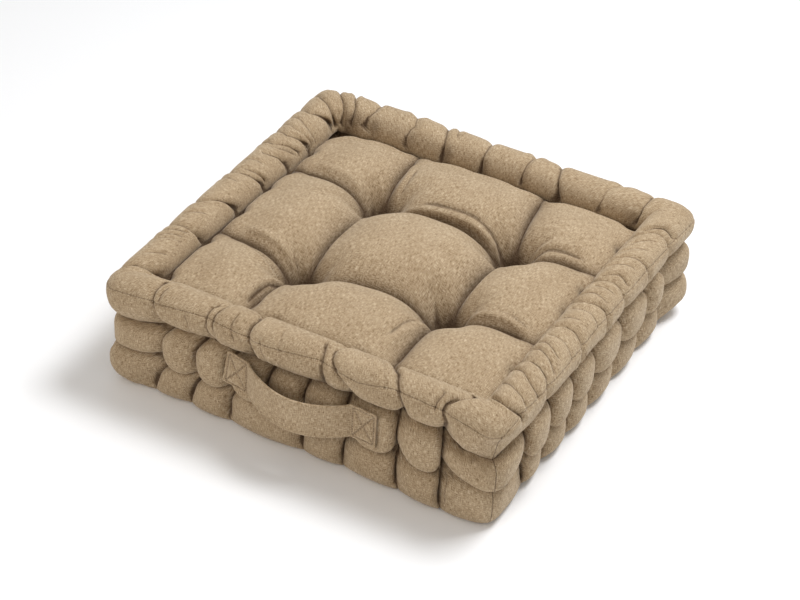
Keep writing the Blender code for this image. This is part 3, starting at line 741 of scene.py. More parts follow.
def fill(points, faces, pins, spare):
    """Blows the cloth up from inside while its sewn lines are held, and says how far each point went."""
    mesh = bpy.data.meshes.new("filling")
    mesh.from_pydata(points.tolist(), [], faces.tolist())
    blown = add_object("filling", mesh)
    for name, weights in (("sewn", pins), ("spare", spare / MOST_SPARE)):
        group = blown.vertex_groups.new(name=name)
        weights = np.round(weights, 3)
        for level in np.unique(weights[weights > 0]):
            group.add(np.nonzero(weights == level)[0].tolist(), float(level), "REPLACE")
    solver = blown.modifiers.new("filling", "CLOTH")
    solver.collision_settings.use_collision = False
    solver.point_cache.frame_start, solver.point_cache.frame_end = 1, FILL_STEPS
    cloth = solver.settings
    cloth.quality, cloth.mass, cloth.air_damping = 4, 0.001, 0.1
    cloth.tension_stiffness = cloth.compression_stiffness = 1.0
    cloth.shear_stiffness, cloth.bending_stiffness = 0.35, 0.004
    cloth.tension_damping = cloth.compression_damping = cloth.shear_damping = cloth.bending_damping = 0.0
    cloth.use_pressure, cloth.uniform_pressure_force = True, PRESSURE
    cloth.vertex_group_mass, cloth.vertex_group_shrink = "sewn", "spare"
    cloth.shrink_min, cloth.shrink_max = 0.0, -MOST_SPARE
    cloth.effector_weights.gravity = 0.0
    for step in range(1, FILL_STEPS + 1):
        bpy.context.scene.frame_set(step)
    view = blown.evaluated_get(bpy.context.evaluated_depsgraph_get())
    after = np.empty(len(points) * 3)
    view.data.vertices.foreach_get("co", after)
    bpy.context.scene.frame_set(1)
    bpy.data.objects.remove(blown)
    bpy.data.meshes.remove(mesh)
    moved = after.reshape(-1, 3) - points
    length = np.maximum(np.linalg.norm(moved, axis=1, keepdims=True), 1e-9)
    return moved * np.tanh(length / FILL_LIMIT) * FILL_LIMIT / length


def normals_of(points, quads):
    """Which way is out at each point."""
    normals = np.zeros_like(points)
    cross = np.cross(points[quads[:, 2]] - points[quads[:, 0]], points[quads[:, 3]] - points[quads[:, 1]])
    for corner in range(4):
        for axis in range(3):
            normals[:, axis] += np.bincount(quads[:, corner], cross[:, axis], len(points))
    return normals / np.maximum(np.linalg.norm(normals, axis=1, keepdims=True), 1e-12)


def near_line(x, y, line):
    """How far each point is from a broken line, and how far along the line it is, from 0 to 1."""
    line = np.array(line, float)
    lengths = np.hypot(*np.diff(line, axis=0).T)
    before = np.concatenate([[0], np.cumsum(lengths)])
    away, along = np.full(x.shape, 1e9), np.zeros(x.shape)
    for i, long in enumerate(lengths):
        run = line[i + 1] - line[i]
        share = np.clip(((x - line[i][0]) * run[0] + (y - line[i][1]) * run[1]) / long**2, 0, 1)
        far = np.hypot(x - line[i][0] - run[0] * share, y - line[i][1] - run[1] * share)
        along = np.where(far < away, (before[i] + share * long) / before[-1], along)
        away = np.minimum(away, far)
    return away, along


def on_side(number, around):
    """Which points lie on one side's roll, with their places along it and round it."""
    on_roll = (around[:, 0] == number) & (around[:, 3] > 0)
    return on_roll, around[on_roll, 1], around[on_roll, 2]


def creases(rest, around):
    """How far each point moves outwards for the fine folds, the pleats of the top and the seams."""
    out = np.zeros(len(rest))
    top = around[:, 0] < 0
    for rise, width, line in PLEATS:
        away, along = near_line(1000 * rest[top, 0], 1000 * rest[top, 1], line)
        ends = eased(along, 0, PLEAT_ENDS) * eased(along, 1, 1 - PLEAT_ENDS)
        out[top] += 0.001 * PLEAT_SCALE * rise * mound(away, width) * ends
    for number, side in enumerate(SIDES):
        on_roll, along, turn = on_side(number, around)
        out[on_roll] -= wrinkles(side, along, turn) * off_ends(turn, WRINKLE_TURNS)
    for row, move in SEAM_STEPS:
        out[around[:, 3] == SEAM_ROW + row] += move
    for place, depth in roll_pits():
        out[top] -= PIT_DEPTH * depth * mound(np.hypot(*(rest[top, :2] - place).T), PIT_REACH)
    border = PANEL_HALF - np.maximum(np.abs(rest[top, 0]), np.abs(rest[top, 1]))
    out[top] += WELT * eased(border, *WELT_INNER) * eased(border, *WELT_OUTER)
    return out


def roll_pits():
    """Where the deeper folds of the roll pull at the stitched line inside it, each with its depth in mm."""
    for side in SIDES:
        for depth, _, course in FOLDS[side]:
            if depth > PULLING_FOLD and course[0][0] < PULLING_TURN:
                yield np.array(rim_point(side, fold_line(course, 0.0), PANEL_INSET + 0.001)), depth


def fold_lines(rest, around):
    """How far each point is from the nearest fold, changing sides from fold to fold, and its depth in mm."""
    away, deep = np.full(len(around), FAR_OFF), np.zeros(len(around))
    for number, side in enumerate(SIDES):
        on_roll, along, turn = on_side(number, around)
        nearest, here = np.full(len(along), 1.0), np.zeros(len(along))
        for i, (depth, _, course) in enumerate(FOLDS[side]):
            gap = (-1) ** i * (along - fold_line(course, turn))
            closer = np.abs(gap) < np.abs(nearest)
            nearest = np.where(closer, gap, nearest)
            here = np.where(closer, depth * along_fold(course, turn), here)
        away[on_roll] = nearest
        ends = off_ends(turn, WRINKLE_TURNS) * eased(np.abs(along), *CORNER_FADE)
        deep[on_roll] = here * ends
        on_puffs = np.nonzero((around[:, 0] == number) & (around[:, 3] == 0))[0]
        for place, depth, line in PUCKERS:
            if place == side:
                beside, up = 1000 * around[on_puffs, 1], 1000 * rest[on_puffs, 2]
                lay_line(away, deep, on_puffs, beside, up, line, depth)
    top = np.nonzero(around[:, 0] < 0)[0]
    for rise, _, line in PLEATS:
        if rise < 0:
            lay_line(away, deep, top, *(1000 * rest[top, :2].T), line, PLEAT_MARK * rise)
    return away, deep


def lay_line(away, deep, chosen, x, y, line, depth):
    """Adds one short crease to the points chosen: how far from it, with a sign for the side, and how deep."""
    distance, along = near_line(x, y, line)
    a, b = np.array(line[0], float), np.array(line[-1], float)
    side_of = np.sign((x - a[0]) * (b - a)[1] - (y - a[1]) * (b - a)[0])
    near = distance < CREASE_NEAR
    away[chosen[near]] = 0.001 * (distance * side_of)[near]
    ends = eased(along, 0, CREASE_ENDS) * eased(along, CREASE_STOP, CREASE_STOP - CREASE_ENDS)
    deep[chosen[near]] = (depth * ends * eased(distance, *CREASE_FADE))[near]


def hollows(points, quads, normals):
    """1 deep in a crease or between puffs, 0 on the rounded cloth, for the shade painted there."""
    pairs = np.concatenate([quads[:, [0, 1]], quads[:, [1, 2]], quads[:, [2, 3]], quads[:, [3, 0]]])
    pairs = np.concatenate([pairs, pairs[:, ::-1]])
    number = np.maximum(np.bincount(pairs[:, 0], minlength=len(points)), 1)[:, None]
    mean, deep = points, np.zeros(len(points))
    for step in range(1, max(HOLLOW_RANGES) + 1):
        sums = [np.bincount(pairs[:, 0], mean[pairs[:, 1], axis], len(points)) for axis in range(3)]
        mean = np.stack(sums, -1) / number
        if step in HOLLOW_RANGES:
            deep += HOLLOW_EACH * eased(((mean - points) * normals).sum(1), *HOLLOW_RANGES[step])
    return deep


def shading(points, rest, crevice, hollow):
    """Shade painted at each point: in hollows, pits, channels and at the roll's foot, and most in the tufts.
    """
    sunk, high = hollow, points[:, 2] > ABOVE_PITS
    for place, depth in roll_pits():
        sunk += PIT_SHADE * depth * mound(np.hypot(*(points[:, :2] - place).T), PIT_DARK) * high
    inside = HALF - np.maximum(np.abs(points[:, 0]), np.abs(points[:, 1]))
    sunk += BORDER_SHADE * mound(inside - PANEL_INSET, BORDER_DARK) * high
    many = (COLUMNS + 1) ** 2
    for a, b, _ in CHANNELS:
        away, _ = near_line(*rest[:many, :2].T, (NODES[a], NODES[b]))
        narrow, wide = (mound(away, width) for width in CHANNEL_DARK)
        sunk[:many] += CHANNEL_SHADE * (NARROW_SHARE * narrow + (1 - NARROW_SHARE) * wide)
    sunk = np.minimum(sunk + CREVICE_SHADE * crevice, MOST_DARK)
    for tuft in TUFTS:
        away = np.hypot(points[:, 0] - tuft[0], points[:, 1] - tuft[1])
        sunk += TUFT_SHADE * mound(away, TUFT_DARK) * (points[:, 2] > ABOVE_TUFTS)
    return sunk


cloth, faces, places, ring, count = build_cover()
rest, around = np.concatenate(cloth["points"]), np.concatenate(cloth["round"])
quads = np.concatenate(faces)
soft = corner_shift(rest)
soft = soft + fill(soft, quads, np.concatenate(cloth["pins"]), np.concatenate(cloth["spare"]))
soft = soft + normals_of(soft, quads) * creases(rest, around)[:, None]
# the front is flat where the strap's ends are sewn on to it
for left, right, low, high in STRAP_SEATS:
    beside = np.maximum(left - soft[:, 0], soft[:, 0] - right)
    beside = np.maximum(beside, np.maximum(low - soft[:, 2], soft[:, 2] - high))
    pressed = np.maximum(soft[:, 1], SEAT_FACE - 0.5 * np.maximum(beside, 0) ** 2 / SEAT_EDGE)
    soft[:, 1] = np.where((soft[:, 1] < 0) & (beside < SEAT_REACH), pressed, soft[:, 1])
last = len(cloth["points"][-1])
points = [soft[:-last], soft[-last:]]
triangles, triangle_places = add_underside(points, faces, places, ring, count)
points = np.concatenate(points)
points[:, 2] = np.maximum(points[:, 2], 0.0)
quads = np.concatenate(faces)

cover_mesh = bpy.data.meshes.new("cover")
cover_mesh.from_pydata(points.tolist(), [], quads.tolist() + triangles.tolist())
cover = add_object("cover", cover_mesh)
laid = np.concatenate([np.concatenate(places).ravel(), triangle_places.ravel()]).astype("f")
cover_mesh.uv_layers.new(name="cloth").data.foreach_set("uv", laid)
# the underside's own points have no fold, seam or crevice
beyond = len(points) - len(soft)
fold_away, fold_deep = fold_lines(rest, around)
crevice = np.append(np.concatenate(cloth["crevice"]), np.zeros(beyond))
# shade painted into the cloth's colour, from its hollows, the roll's pits and border, the channels, the
# crevices and the tufts
hollow = shading(points, rest, crevice, hollows(points, quads, normals_of(points, quads)))
for name, values in (
    ("fold", np.append(fold_away, np.full(beyond, FAR_OFF))),
    ("fold_depth", np.append(fold_deep, np.zeros(beyond))),
    ("seam", np.append(np.concatenate(cloth["seam"]), np.full(beyond, FAR_OFF))),
    ("hollow", hollow),
):
    cover_mesh.attributes.new(name, "FLOAT", "POINT").data.foreach_set("value", values.astype("f"))
cover_mesh.shade_smooth()


class Value:
    """One number of a material, so that sums with it are written as plain arithmetic."""

    def __init__(self, tree, socket):
        self.tree, self.socket = tree, socket

    def worked(self, operation, first, second=0.0):
        node = add_node(self.tree, "ShaderNodeMath", {"operation": operation}, {0: first, 1: second})
        return Value(self.tree, node.outputs[0])

    def __add__(self, other):
        return self.worked("ADD", self, other)

    def __sub__(self, other):
        return self.worked("SUBTRACT", self, other)

    def __mul__(self, other):
        return self.worked("MULTIPLY", self, other)

    def __rsub__(self, other):
        return self.worked("SUBTRACT", other, self)

    def __abs__(self):
        return self.worked("ABSOLUTE", self)

    def wave(self):
        return self.worked("SINE", self)

    def between(self, low, high):
        """0 at low, 1 at high, smooth in between."""
        values = {"Value": self, "From Min": low, "From Max": high}
        node = add_node(self.tree, "ShaderNodeMapRange", {"interpolation_type": "SMOOTHSTEP"}, values)
        return Value(self.tree, node.outputs[0])

    __radd__, __rmul__ = __add__, __mul__


def add_node(tree, kind, settings=None, values=None):
    """A node with its settings made first and then the values or links of its sockets."""
    node = tree.nodes.new(kind)
    for name, setting in (settings or {}).items():
        if name == "stops":
            while len(node.color_ramp.elements) < len(setting):
                node.color_ramp.elements.new(1.0)
            for element, (place, colour) in zip(node.color_ramp.elements, setting):
                element.position, element.color = place, (*colour, 1)
        else:
            setattr(node, name, setting)
    for name, value in (values or {}).items():
        if isinstance(value, Value):
            tree.links.new(value.socket, node.inputs[name])
        elif isinstance(value, bpy.types.NodeSocket):
            tree.links.new(value, node.inputs[name])
        else:
            node.inputs[name].default_value = value
    return node


# the weave's pitch, how much shade is painted in hollows and along creases, and how dark the seam and join
# lines are
WEAVE_PITCH, HOLLOW_SHADE, CREASE_SHADE, SEAM_SHADE, JOIN_SHADE = 0.0011, 0.84, 0.36, 0.42, 0.62
# the yarns of the cloth, its fuzz and its clouds of tone: length, thickness, seed and detail
WARP, WEFT = (0.0036, 0.00050, 3.1, 0.0), (0.00050, 0.0046, 7.7, 0.0)
FUZZ, CLOUDS = (0.00052, 0.00052, 11.3, 1.0), (0.0300, 0.0300, 5.9, 2.0)
# shares of threads, fuzz and clouds in the cloth's tone, and of threads, weave and fuzz in its height
IN_TONE, IN_HEIGHT = (0.60, 0.40, 0.10), (0.6, 0.15, 0.2)
# how far from their line a seam's and the band's join's dark lines and a fold's painted shade fade out, then
# how far down the join begins, from where to where the shade painted in hollows and creases deepens, and how
# far seams and creases sink in
SEAM_FADE, JOIN_FADE, FOLD_FADE = (0.0001, 0.0007), (0.0002, 0.0010), (0.0001, 0.0015)
JOIN_TOP, HOLLOW_DEEP, CREASE_DEEP = (0.058, 0.060), (-0.05, 1.1), (0.0, 4.0)
SEAM_SUNK, CREASE_SUNK = 1.5, 1.7
# the bump's strength and height, the dark brown that full painted shade draws the colour to, and white for
# none
BUMP_STRENGTH, BUMP_HIGH, PAINTED_SHADE_TINT, PLAIN = 0.55, 0.0006, (0.10, 0.055, 0.03, 1), (1, 1, 1, 1)
# dark ground, middle, pale and flecks, each at its place on the ramp
LINEN = (
    (0.36, (0.187, 0.121, 0.064)), (0.49, (0.375, 0.271, 0.162)),
    (0.59, (0.516, 0.402, 0.268)), (0.70, (0.670, 0.556, 0.408)),
)


def heathered_cloth(name, marks):
    """Plain-woven cloth of slubby two-tone yarn with shade painted darker into its hollows and, if marked,
    dark lines at its seams and painted shade along its folds.
    """
    material = bpy.data.materials.new(name)
    material.use_nodes = True
    tree = material.node_tree
    laid = add_node(tree, "ShaderNodeUVMap", {"uv_map": "cloth"}).outputs[0]

    def yarn(long, thick, seed, detail):
        scaled = add_node(tree, "ShaderNodeMapping", None, {
            "Vector": laid, "Location": (seed, 2 * seed, 0), "Scale": (1 / long, 1 / thick, 1)})
        noise = add_node(tree, "ShaderNodeTexNoise", None, {
            "Vector": scaled.outputs[0], "Scale": 1.0, "Detail": detail, "Roughness": 0.55})
        return Value(tree, noise.outputs["Fac"])

    def marked(attribute):
        node = add_node(tree, "ShaderNodeAttribute", {"attribute_name": attribute})
        return Value(tree, node.outputs["Fac"])

    split = add_node(tree, "ShaderNodeSeparateXYZ", None, {0: laid})
    along, down = (Value(tree, split.outputs[axis]) for axis in range(2))
    weave = 2 * math.pi / WEAVE_PITCH
    over = (along * weave).wave() * (down * weave).wave() * 0.5 + 0.5
    threads = yarn(*WARP) * over + yarn(*WEFT) * (1 - over)
    fuzz = yarn(*FUZZ)
    tone = threads * IN_TONE[0] + fuzz * IN_TONE[1] + (yarn(*CLOUDS) - 0.5) * IN_TONE[2]
    colour = add_node(tree, "ShaderNodeValToRGB", {"stops": LINEN}, {0: tone}).outputs[0]
    height = threads * IN_HEIGHT[0] + over * IN_HEIGHT[1] + fuzz * IN_HEIGHT[2]
    # shade painted into the colour from the mesh's painted shade values: hollows, channels, tufts, crevices
    # and stitch grooves
    shade = 1 - marked("hollow").between(*HOLLOW_DEEP) * HOLLOW_SHADE
    if marks:
        # the band's upright join runs from the roll's stitches down, where the cloth's places begin and end
        upright = abs(along - 2 * HALF) + (1 - down.between(*JOIN_TOP)) * 0.01
        seam = (1 - abs(marked("seam")).between(*SEAM_FADE)) * SEAM_SHADE
        line = seam + (1 - upright.between(*JOIN_FADE)) * JOIN_SHADE
        # shade painted along each fold's crease line, which the bump also sinks
        fold = 1 - abs(marked("fold")).between(*FOLD_FADE)
        crease = fold * marked("fold_depth").between(*CREASE_DEEP)
        shade = shade * (1 - line) * (1 - crease * CREASE_SHADE)
        height = height - line * SEAM_SUNK - crease * CREASE_SUNK
    tint = add_node(tree, "ShaderNodeMix", {"data_type": "RGBA"}, {
        0: shade, 6: PAINTED_SHADE_TINT, 7: PLAIN})
    colour = add_node(tree, "ShaderNodeMix", {"data_type": "RGBA", "blend_type": "MULTIPLY"}, {
        0: 1.0, 6: colour, 7: tint.outputs[2]})
    bump = add_node(tree, "ShaderNodeBump", None, {
        "Strength": BUMP_STRENGTH, "Distance": BUMP_HIGH, "Height": height})
    bsdf = tree.nodes["Principled BSDF"]
    tree.links.new(colour.outputs[2], bsdf.inputs["Base Color"])
    tree.links.new(bump.outputs[0], bsdf.inputs["Normal"])
    for socket, value in (
        ("Roughness", 0.95), ("Specular IOR Level", 0.15), ("Sheen Weight", 0.22), ("Sheen Roughness", 0.45),
        ("Sheen Tint", (1.0, 0.90, 0.76, 1)),
    ):
        bsdf.inputs[socket].default_value = value
    return material


cover_mesh.materials.append(heathered_cloth("linen", True))
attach(cover, "root")
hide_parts("cushion")

# ------------------------------------------------------------------------------------------------------------
# The carrying strap: a length of the same cloth folded to a flat webbing 34 mm wide. Its ends are sewn flat
# to the front with a stitched box and cross, and its middle bows out to take the fingers.
# ------------------------------------------------------------------------------------------------------------
STRAP_THICK, STRAP_LOW, STRAP_HIGH = 0.0022, 0.0456, 0.0799
# where its sewn ends lie in X, and how much higher it runs at their four edges than at its lowest
STRAP_LEFT, STRAP_RIGHT, STRAP_LIFT = (-0.0675, -0.0440), (0.0572, 0.0820), (0.0075, 0.0029, 0.0021, 0.0002)
# how far in front of the cover it lies, bows out and hangs, and how much the left end leans
STRAP_FACE, STRAP_BOW, STRAP_SAG, BOW_POWER, END_SLANT = 0.0030, 0.0187, -0.0040, 0.8, 0.0055
BOX_MARGIN, BOX_PUFF, BOX_SUNK, BOX_REACH, BOX_ENDS = 0.0022, 0.0013, 0.0005, 0.0034, 0.001
# the thicker hem along both long edges: its rise, its middle and its width, and how round the edges are
HEM, HEM_IN, HEM_WIDE, EDGE_ROUND, EDGE_LEAST = 0.00025, 0.0016, 0.0012, 0.6, 0.02
STRAP_ACROSS, PATCH_STEPS, BOW_STEPS, EDGE_GATHER = 52, 44, 110, 0.08
# how much shade is painted into the cloth along its stitches and how far out, and where the strap lies on the
# uncut cloth
SEWN_SHADE, SEWN_DARK, CUT_AT, REAR_AT = 0.75, 0.0007, (2.0, 0.0), 0.05


def strap_line():
    """The strap's middle line: x, y, how much higher it runs, and how much it leans."""
    y = -(HALF - STRAP_FACE) - STRAP_THICK / 2
    line = []
    for step in range(PATCH_STEPS):
        share = step / PATCH_STEPS
        x = STRAP_LEFT[0] + (STRAP_LEFT[1] - STRAP_LEFT[0]) * share
        line.append((x, y, STRAP_LIFT[0] + (STRAP_LIFT[1] - STRAP_LIFT[0]) * share, 1 - share))
    for step in range(BOW_STEPS + 1):
        share = 0.5 - 0.5 * math.cos(math.pi * step / BOW_STEPS)
        bow = math.sin(math.pi * share) ** BOW_POWER
        x = STRAP_LEFT[1] + (STRAP_RIGHT[0] - STRAP_LEFT[1]) * share
        rise = STRAP_LIFT[1] + (STRAP_LIFT[2] - STRAP_LIFT[1]) * share + STRAP_SAG * bow
        line.append((x, y - STRAP_BOW * bow, rise, 0))
    for step in range(1, PATCH_STEPS + 1):
        share = step / PATCH_STEPS
        x = STRAP_RIGHT[0] + (STRAP_RIGHT[1] - STRAP_RIGHT[0]) * share
        line.append((x, y, STRAP_LIFT[2] + (STRAP_LIFT[3] - STRAP_LIFT[2]) * share, 0))
    return np.array(line)


def boxed_cross(start, end):
    """The stitched box and its two diagonals, in metres along and across the strap."""
    a, b, c, d = start + BOX_MARGIN, end - BOX_MARGIN, BOX_MARGIN, strap_wide - BOX_MARGIN
    return (((a, c), (b, c), (b, d), (a, d), (a, c)), ((a, c), (b, d)), ((a, d), (b, c)))


def from_stitches(along, across, start, end):
    """How far each place on the strap is from the stitches of the end that is sewn from start to end."""
    return np.min([near_line(along, across, path)[0] for path in boxed_cross(start, end)], axis=0)


def strap_face(along, across):
    """How far the strap's outer face stands up, pressed in along its stitches and full between them."""
    rise = HEM * mound(np.minimum(across, strap_wide - across) - HEM_IN, HEM_WIDE)
    for start, end in PATCHES:
        inside = eased(along, start - BOX_ENDS, start + BOX_ENDS)
        inside = inside * eased(along, end + BOX_ENDS, end - BOX_ENDS)
        puffed = BOX_PUFF * smooth(from_stitches(along, across, start, end) / BOX_REACH)
        rise = rise + inside * (puffed - BOX_SUNK)
    return rise


def strap_point(along, across, out):
    """A point of the strap, out metres in front of its middle line."""
    x, y, rise, slant = (np.interp(along, strap_run, line[:, column]) for column in range(4))
    ahead_x, ahead_y = (np.interp(along, strap_run, heading[:, axis]) for axis in (0, 1))
    x = x + slant * END_SLANT * (across / strap_wide - 0.5)
    return np.stack([x + ahead_y * out, y - ahead_x * out, STRAP_LOW + across + rise], -1)


line = strap_line()
strap_run = np.concatenate([[0], np.cumsum(np.hypot(*np.diff(line[:, :2], axis=0).T))])
strap_long, strap_wide = strap_run[-1], STRAP_HIGH - STRAP_LOW
PATCHES = ((0.0, STRAP_LEFT[1] - STRAP_LEFT[0]), (strap_long - (STRAP_RIGHT[1] - STRAP_RIGHT[0]), strap_long))
heading = np.gradient(line[:, :2], axis=0)
heading /= np.linalg.norm(heading, axis=1, keepdims=True)
for axis in (0, 1):
    heading[:, axis] = np.convolve(np.pad(heading[:, axis], 2, "edge"), np.full(5, 0.2), "valid")
heading /= np.linalg.norm(heading, axis=1, keepdims=True)

# lines of the mesh along the strap lie closer together at its long edges
share = EDGE_GATHER + (1 - 2 * EDGE_GATHER) * np.arange(STRAP_ACROSS + 1) / STRAP_ACROSS
across = strap_wide * (0.5 - 0.5 * np.cos(np.pi * share) / math.cos(EDGE_GATHER * math.pi))
run, over = np.meshgrid(strap_run, across, indexing="ij")
to_edge = np.minimum(over, strap_wide - over) / (STRAP_THICK * EDGE_ROUND)
rounded = np.sqrt(np.clip(1 - (1 - to_edge).clip(0, 1) ** 2, EDGE_LEAST, 1))
front = strap_point(run, over, STRAP_THICK / 2 * rounded + strap_face(run, over) * rounded)
rear = strap_point(run, over, -STRAP_THICK / 2 * rounded)
sections = np.concatenate([front, rear[:, ::-1]], axis=1)
rows, around_count = sections.shape[:2]
index = np.arange(rows * around_count).reshape(rows, around_count)
here, ahead = index[:-1], index[1:]
strap_faces = [np.stack([here, np.roll(here, -1, 1), np.roll(ahead, -1, 1), ahead], -1).reshape(-1, 4)]
for row, order in ((0, 1), (rows - 1, -1)):
    a, b = index[row, : STRAP_ACROSS + 1], index[row, STRAP_ACROSS + 1 :][::-1]
    strap_faces.append(np.stack([a[:-1], b[:-1], b[1:], a[1:]], -1)[:, ::order])
strap_mesh = bpy.data.meshes.new("strap")
strap_mesh.from_pydata(sections.reshape(-1, 3).tolist(), [], np.concatenate(strap_faces).tolist())
strap = add_object("strap", strap_mesh)
flat_place = np.stack([np.concatenate([run, run], 1), np.concatenate([over, over[:, ::-1] + REAR_AT], 1)], -1)
used = np.empty(len(strap_mesh.loops), int)
strap_mesh.loops.foreach_get("vertex_index", used)
laid = (flat_place.reshape(-1, 2) + CUT_AT)[used].astype("f").ravel()
strap_mesh.uv_layers.new(name="cloth").data.foreach_set("uv", laid)
pressed = np.min([from_stitches(run, over, start, end) for start, end in PATCHES], axis=0)
# shade painted into the strap's outer face along the grooves of its stitches
shaded = np.concatenate([SEWN_SHADE * mound(pressed, SEWN_DARK), np.zeros(run.shape)], 1)
strap_mesh.attributes.new("hollow", "FLOAT", "POINT").data.foreach_set("value", shaded.ravel().astype("f"))
strap_mesh.shade_smooth()
edit = bmesh.new()
edit.from_mesh(strap_mesh)
bmesh.ops.recalc_face_normals(edit, faces=edit.faces)
edit.to_mesh(strap_mesh)
edit.free()
strap_mesh.materials.append(heathered_cloth("strap_linen", False))
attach(strap, "root")
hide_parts("handle")

# ------------------------------------------------------------------------------------------------------------
# The strap's stitches: waxed cotton thread in the cloth's own colour, a box and a cross at each sewn end and
# a row along each long edge, each stitch a short rounded length of thread lying in the groove that it pulls.
# ------------------------------------------------------------------------------------------------------------
STITCH_LONG, STITCH_THICK, STITCH_PITCH = 0.0021, 0.00052, 0.0027
THREAD_TONES = ((0.35, (0.30, 0.21, 0.12)), (0.65, (0.52, 0.40, 0.26)))
BOX_STEPS, EDGE_STEPS = 12, 90


def stitch_tree(material):
    """One stitch at each step along every path of the mesh that it is given."""
    tree = bpy.data.node_groups.new("stitches", "GeometryNodeTree")
    tree.interface.new_socket(name="Paths", in_out="INPUT", socket_type="NodeSocketGeometry")
    for name in ("Pitch", "Length", "Thread"):
        tree.interface.new_socket(name=name, in_out="INPUT", socket_type="NodeSocketFloat")
    tree.interface.new_socket(name="Stitches", in_out="OUTPUT", socket_type="NodeSocketGeometry")
    given, made = add_node(tree, "NodeGroupInput").outputs, add_node(tree, "NodeGroupOutput")
    curve = add_node(tree, "GeometryNodeMeshToCurve", None, {0: given["Paths"]})
    steps = add_node(tree, "GeometryNodeResampleCurve", {"mode": "LENGTH"}, {
        "Curve": curve.outputs[0], "Length": given["Pitch"]})
    ball = add_node(tree, "GeometryNodeMeshUVSphere", None, {"Segments": 6, "Rings": 5, "Radius": 0.5})
    size = add_node(tree, "ShaderNodeCombineXYZ", None, {
        0: given["Thread"], 1: given["Thread"], 2: given["Length"]})
    tangent = add_node(tree, "GeometryNodeInputTangent").outputs[0]
    facing = add_node(tree, "FunctionNodeAlignRotationToVector", {"axis": "Z"}, {"Vector": tangent})
    placed = add_node(tree, "GeometryNodeInstanceOnPoints", None, {
        "Points": steps.outputs[0], "Instance": ball.outputs[0],
        "Rotation": facing.outputs[0], "Scale": size.outputs[0]})
    real = add_node(tree, "GeometryNodeRealizeInstances", None, {0: placed.outputs[0]})
    smoothed = add_node(tree, "GeometryNodeSetShadeSmooth", None, {0: real.outputs[0]})
    finished = add_node(tree, "GeometryNodeSetMaterial", None, {
        "Geometry": smoothed.outputs[0], "Material": material})
    tree.links.new(finished.outputs[0], made.inputs[0])
    return tree


def sewn_path(along, across, sunk):
    """Points on the strap's face for one line of stitches, raised by a share of the thread's thickness."""
    return strap_point(along, across, STRAP_THICK / 2 + strap_face(along, across) + sunk * STITCH_THICK)


thread = bpy.data.materials.new("thread")
thread.use_nodes = True
tree = thread.node_tree
place = add_node(tree, "ShaderNodeTexCoord").outputs["Object"]
twist = add_node(tree, "ShaderNodeTexNoise", None, {"Vector": place, "Scale": 1400.0, "Detail": 1.0})
shade = add_node(tree, "ShaderNodeValToRGB", {"stops": THREAD_TONES}, {0: twist.outputs["Fac"]})
tree.links.new(shade.outputs[0], tree.nodes["Principled BSDF"].inputs["Base Color"])
tree.nodes["Principled BSDF"].inputs["Roughness"].default_value = 0.7

paths = []
for start, end in PATCHES:
    for path in boxed_cross(start, end):
        for (s0, c0), (s1, c1) in zip(path[:-1], path[1:]):
            steps = np.linspace(0, 1, BOX_STEPS)
            paths.append(sewn_path(s0 + (s1 - s0) * steps, c0 + (c1 - c0) * steps, 0.1))
along = np.linspace(PATCHES[0][1] + 0.001, PATCHES[1][0] - 0.001, EDGE_STEPS)
for across in (BOX_MARGIN, strap_wide - BOX_MARGIN):
    paths.append(sewn_path(along, np.full(EDGE_STEPS, across), 0.05))
joined, count = [], 0
for path in paths:
    joined += [(count + i, count + i + 1) for i in range(len(path) - 1)]
    count += len(path)
path_mesh = bpy.data.meshes.new("stitch_paths")
path_mesh.from_pydata(np.concatenate(paths).tolist(), joined, [])
path_object = add_object("stitch_paths", path_mesh)
sewing = path_object.modifiers.new("stitches", "NODES")
sewing.node_group = stitch_tree(thread)
given = {"Pitch": STITCH_PITCH, "Length": STITCH_LONG, "Thread": STITCH_THICK}
for item in sewing.node_group.interface.items_tree:
    if item.in_out == "INPUT" and item.name in given:
        sewing[item.identifier] = given[item.name]
view = path_object.evaluated_get(bpy.context.evaluated_depsgraph_get())
stitch_mesh = bpy.data.meshes.new_from_object(view)
stitch_mesh.name = "strap_stitches"
bpy.data.objects.remove(path_object)
bpy.data.meshes.remove(path_mesh)
strap_stitches = add_object("strap_stitches", stitch_mesh)
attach(strap_stitches, "root")

# ------------------------------------------------------------------------------------------------------------
# Floor, light and camera: a plain pale floor, a soft lamp high up behind on the right, a larger weaker one
# low in front, and an even pale surround. The camera looks down on the front right corner, a little tilted.
# ------------------------------------------------------------------------------------------------------------
FLOOR_SIZE, FLOOR_COLOUR, FLOOR_ROUGH = 12.0, (0.92, 0.92, 0.92, 1), 0.9
SURROUND_COLOUR, SURROUND_POWER = (1, 1, 1, 1), 0.5
CAMERA_TURN, CAMERA_UP, CAMERA_TILT, CAMERA_AWAY = 27.363, 35.363, 3.5, 1.7768
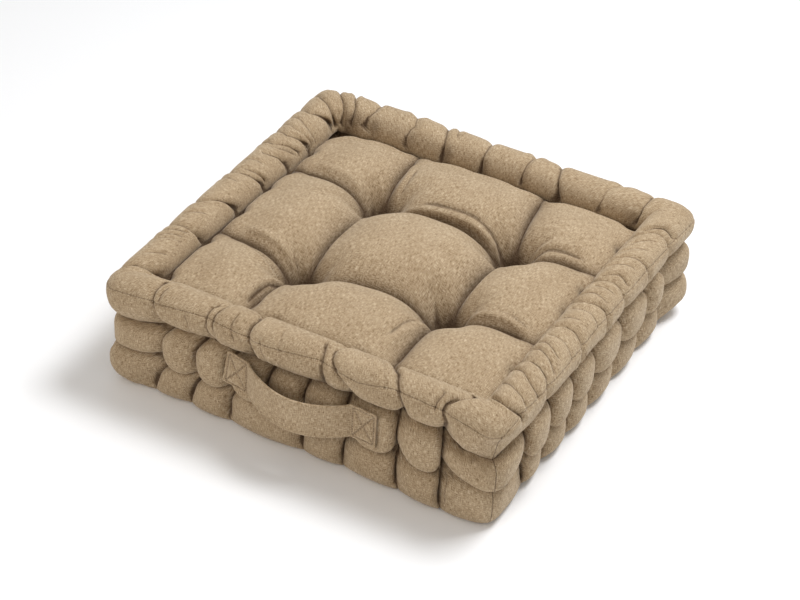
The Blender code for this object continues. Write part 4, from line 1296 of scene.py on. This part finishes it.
# what the camera looks at, then how far that is moved to the right and up as it sees it, and what is lit
AIM, AIM_SHIFT, LIT = (0, 0, 0.05), (-0.0052, -0.0025), (0, 0, 0.06)

bpy.ops.mesh.primitive_plane_add(size=FLOOR_SIZE, location=(0, 0, 0))
floor = bpy.context.object
floor.name = "floor"
paper = bpy.data.materials.new("paper")
paper.use_nodes = True
paper.node_tree.nodes["Principled BSDF"].inputs["Base Color"].default_value = FLOOR_COLOUR
paper.node_tree.nodes["Principled BSDF"].inputs["Roughness"].default_value = FLOOR_ROUGH
floor.data.materials.append(paper)


def soft_light(name, place, size, power, colour):
    """A square lamp that faces the cushion."""
    lamp = bpy.data.lights.new(name, "AREA")
    lamp.energy, lamp.size, lamp.color = power, size, colour
    made = add_object(name, lamp)
    made.location = place
    made.rotation_euler = (Vector(LIT) - Vector(place)).to_track_quat("-Z", "Y").to_euler()


soft_light("key", (0.52, 0.54, 1.7), 0.7, 28.5, (0.95, 0.97, 1.0))
soft_light("fill", (-0.5, -1.6, 1.1), 1.5, 9, (1.0, 0.90, 0.79))
world = bpy.data.worlds.new("studio")
bpy.context.scene.world = world
world.use_nodes = True
world.node_tree.nodes["Background"].inputs["Color"].default_value = SURROUND_COLOUR
world.node_tree.nodes["Background"].inputs["Strength"].default_value = SURROUND_POWER
bpy.context.scene.view_settings.view_transform = "Standard"

azimuth, elevation = math.radians(CAMERA_TURN), math.radians(CAMERA_UP)
level = math.cos(elevation)
back = Vector((math.sin(azimuth) * level, -math.cos(azimuth) * level, math.sin(elevation)))
lens = bpy.data.cameras.new("camera")
lens.lens, lens.sensor_width = 86.38, 36.0
camera = add_object("camera", lens)
upright = back.to_track_quat("Z", "Y").to_matrix()
tilted = (upright @ Matrix.Rotation(math.radians(CAMERA_TILT), 3, "Z")).to_4x4()
aim = Vector(AIM) + upright.col[0] * AIM_SHIFT[0] + upright.col[1] * AIM_SHIFT[1]
camera.matrix_world = Matrix.Translation(aim + back * CAMERA_AWAY) @ tilted
bpy.context.scene.camera = camera
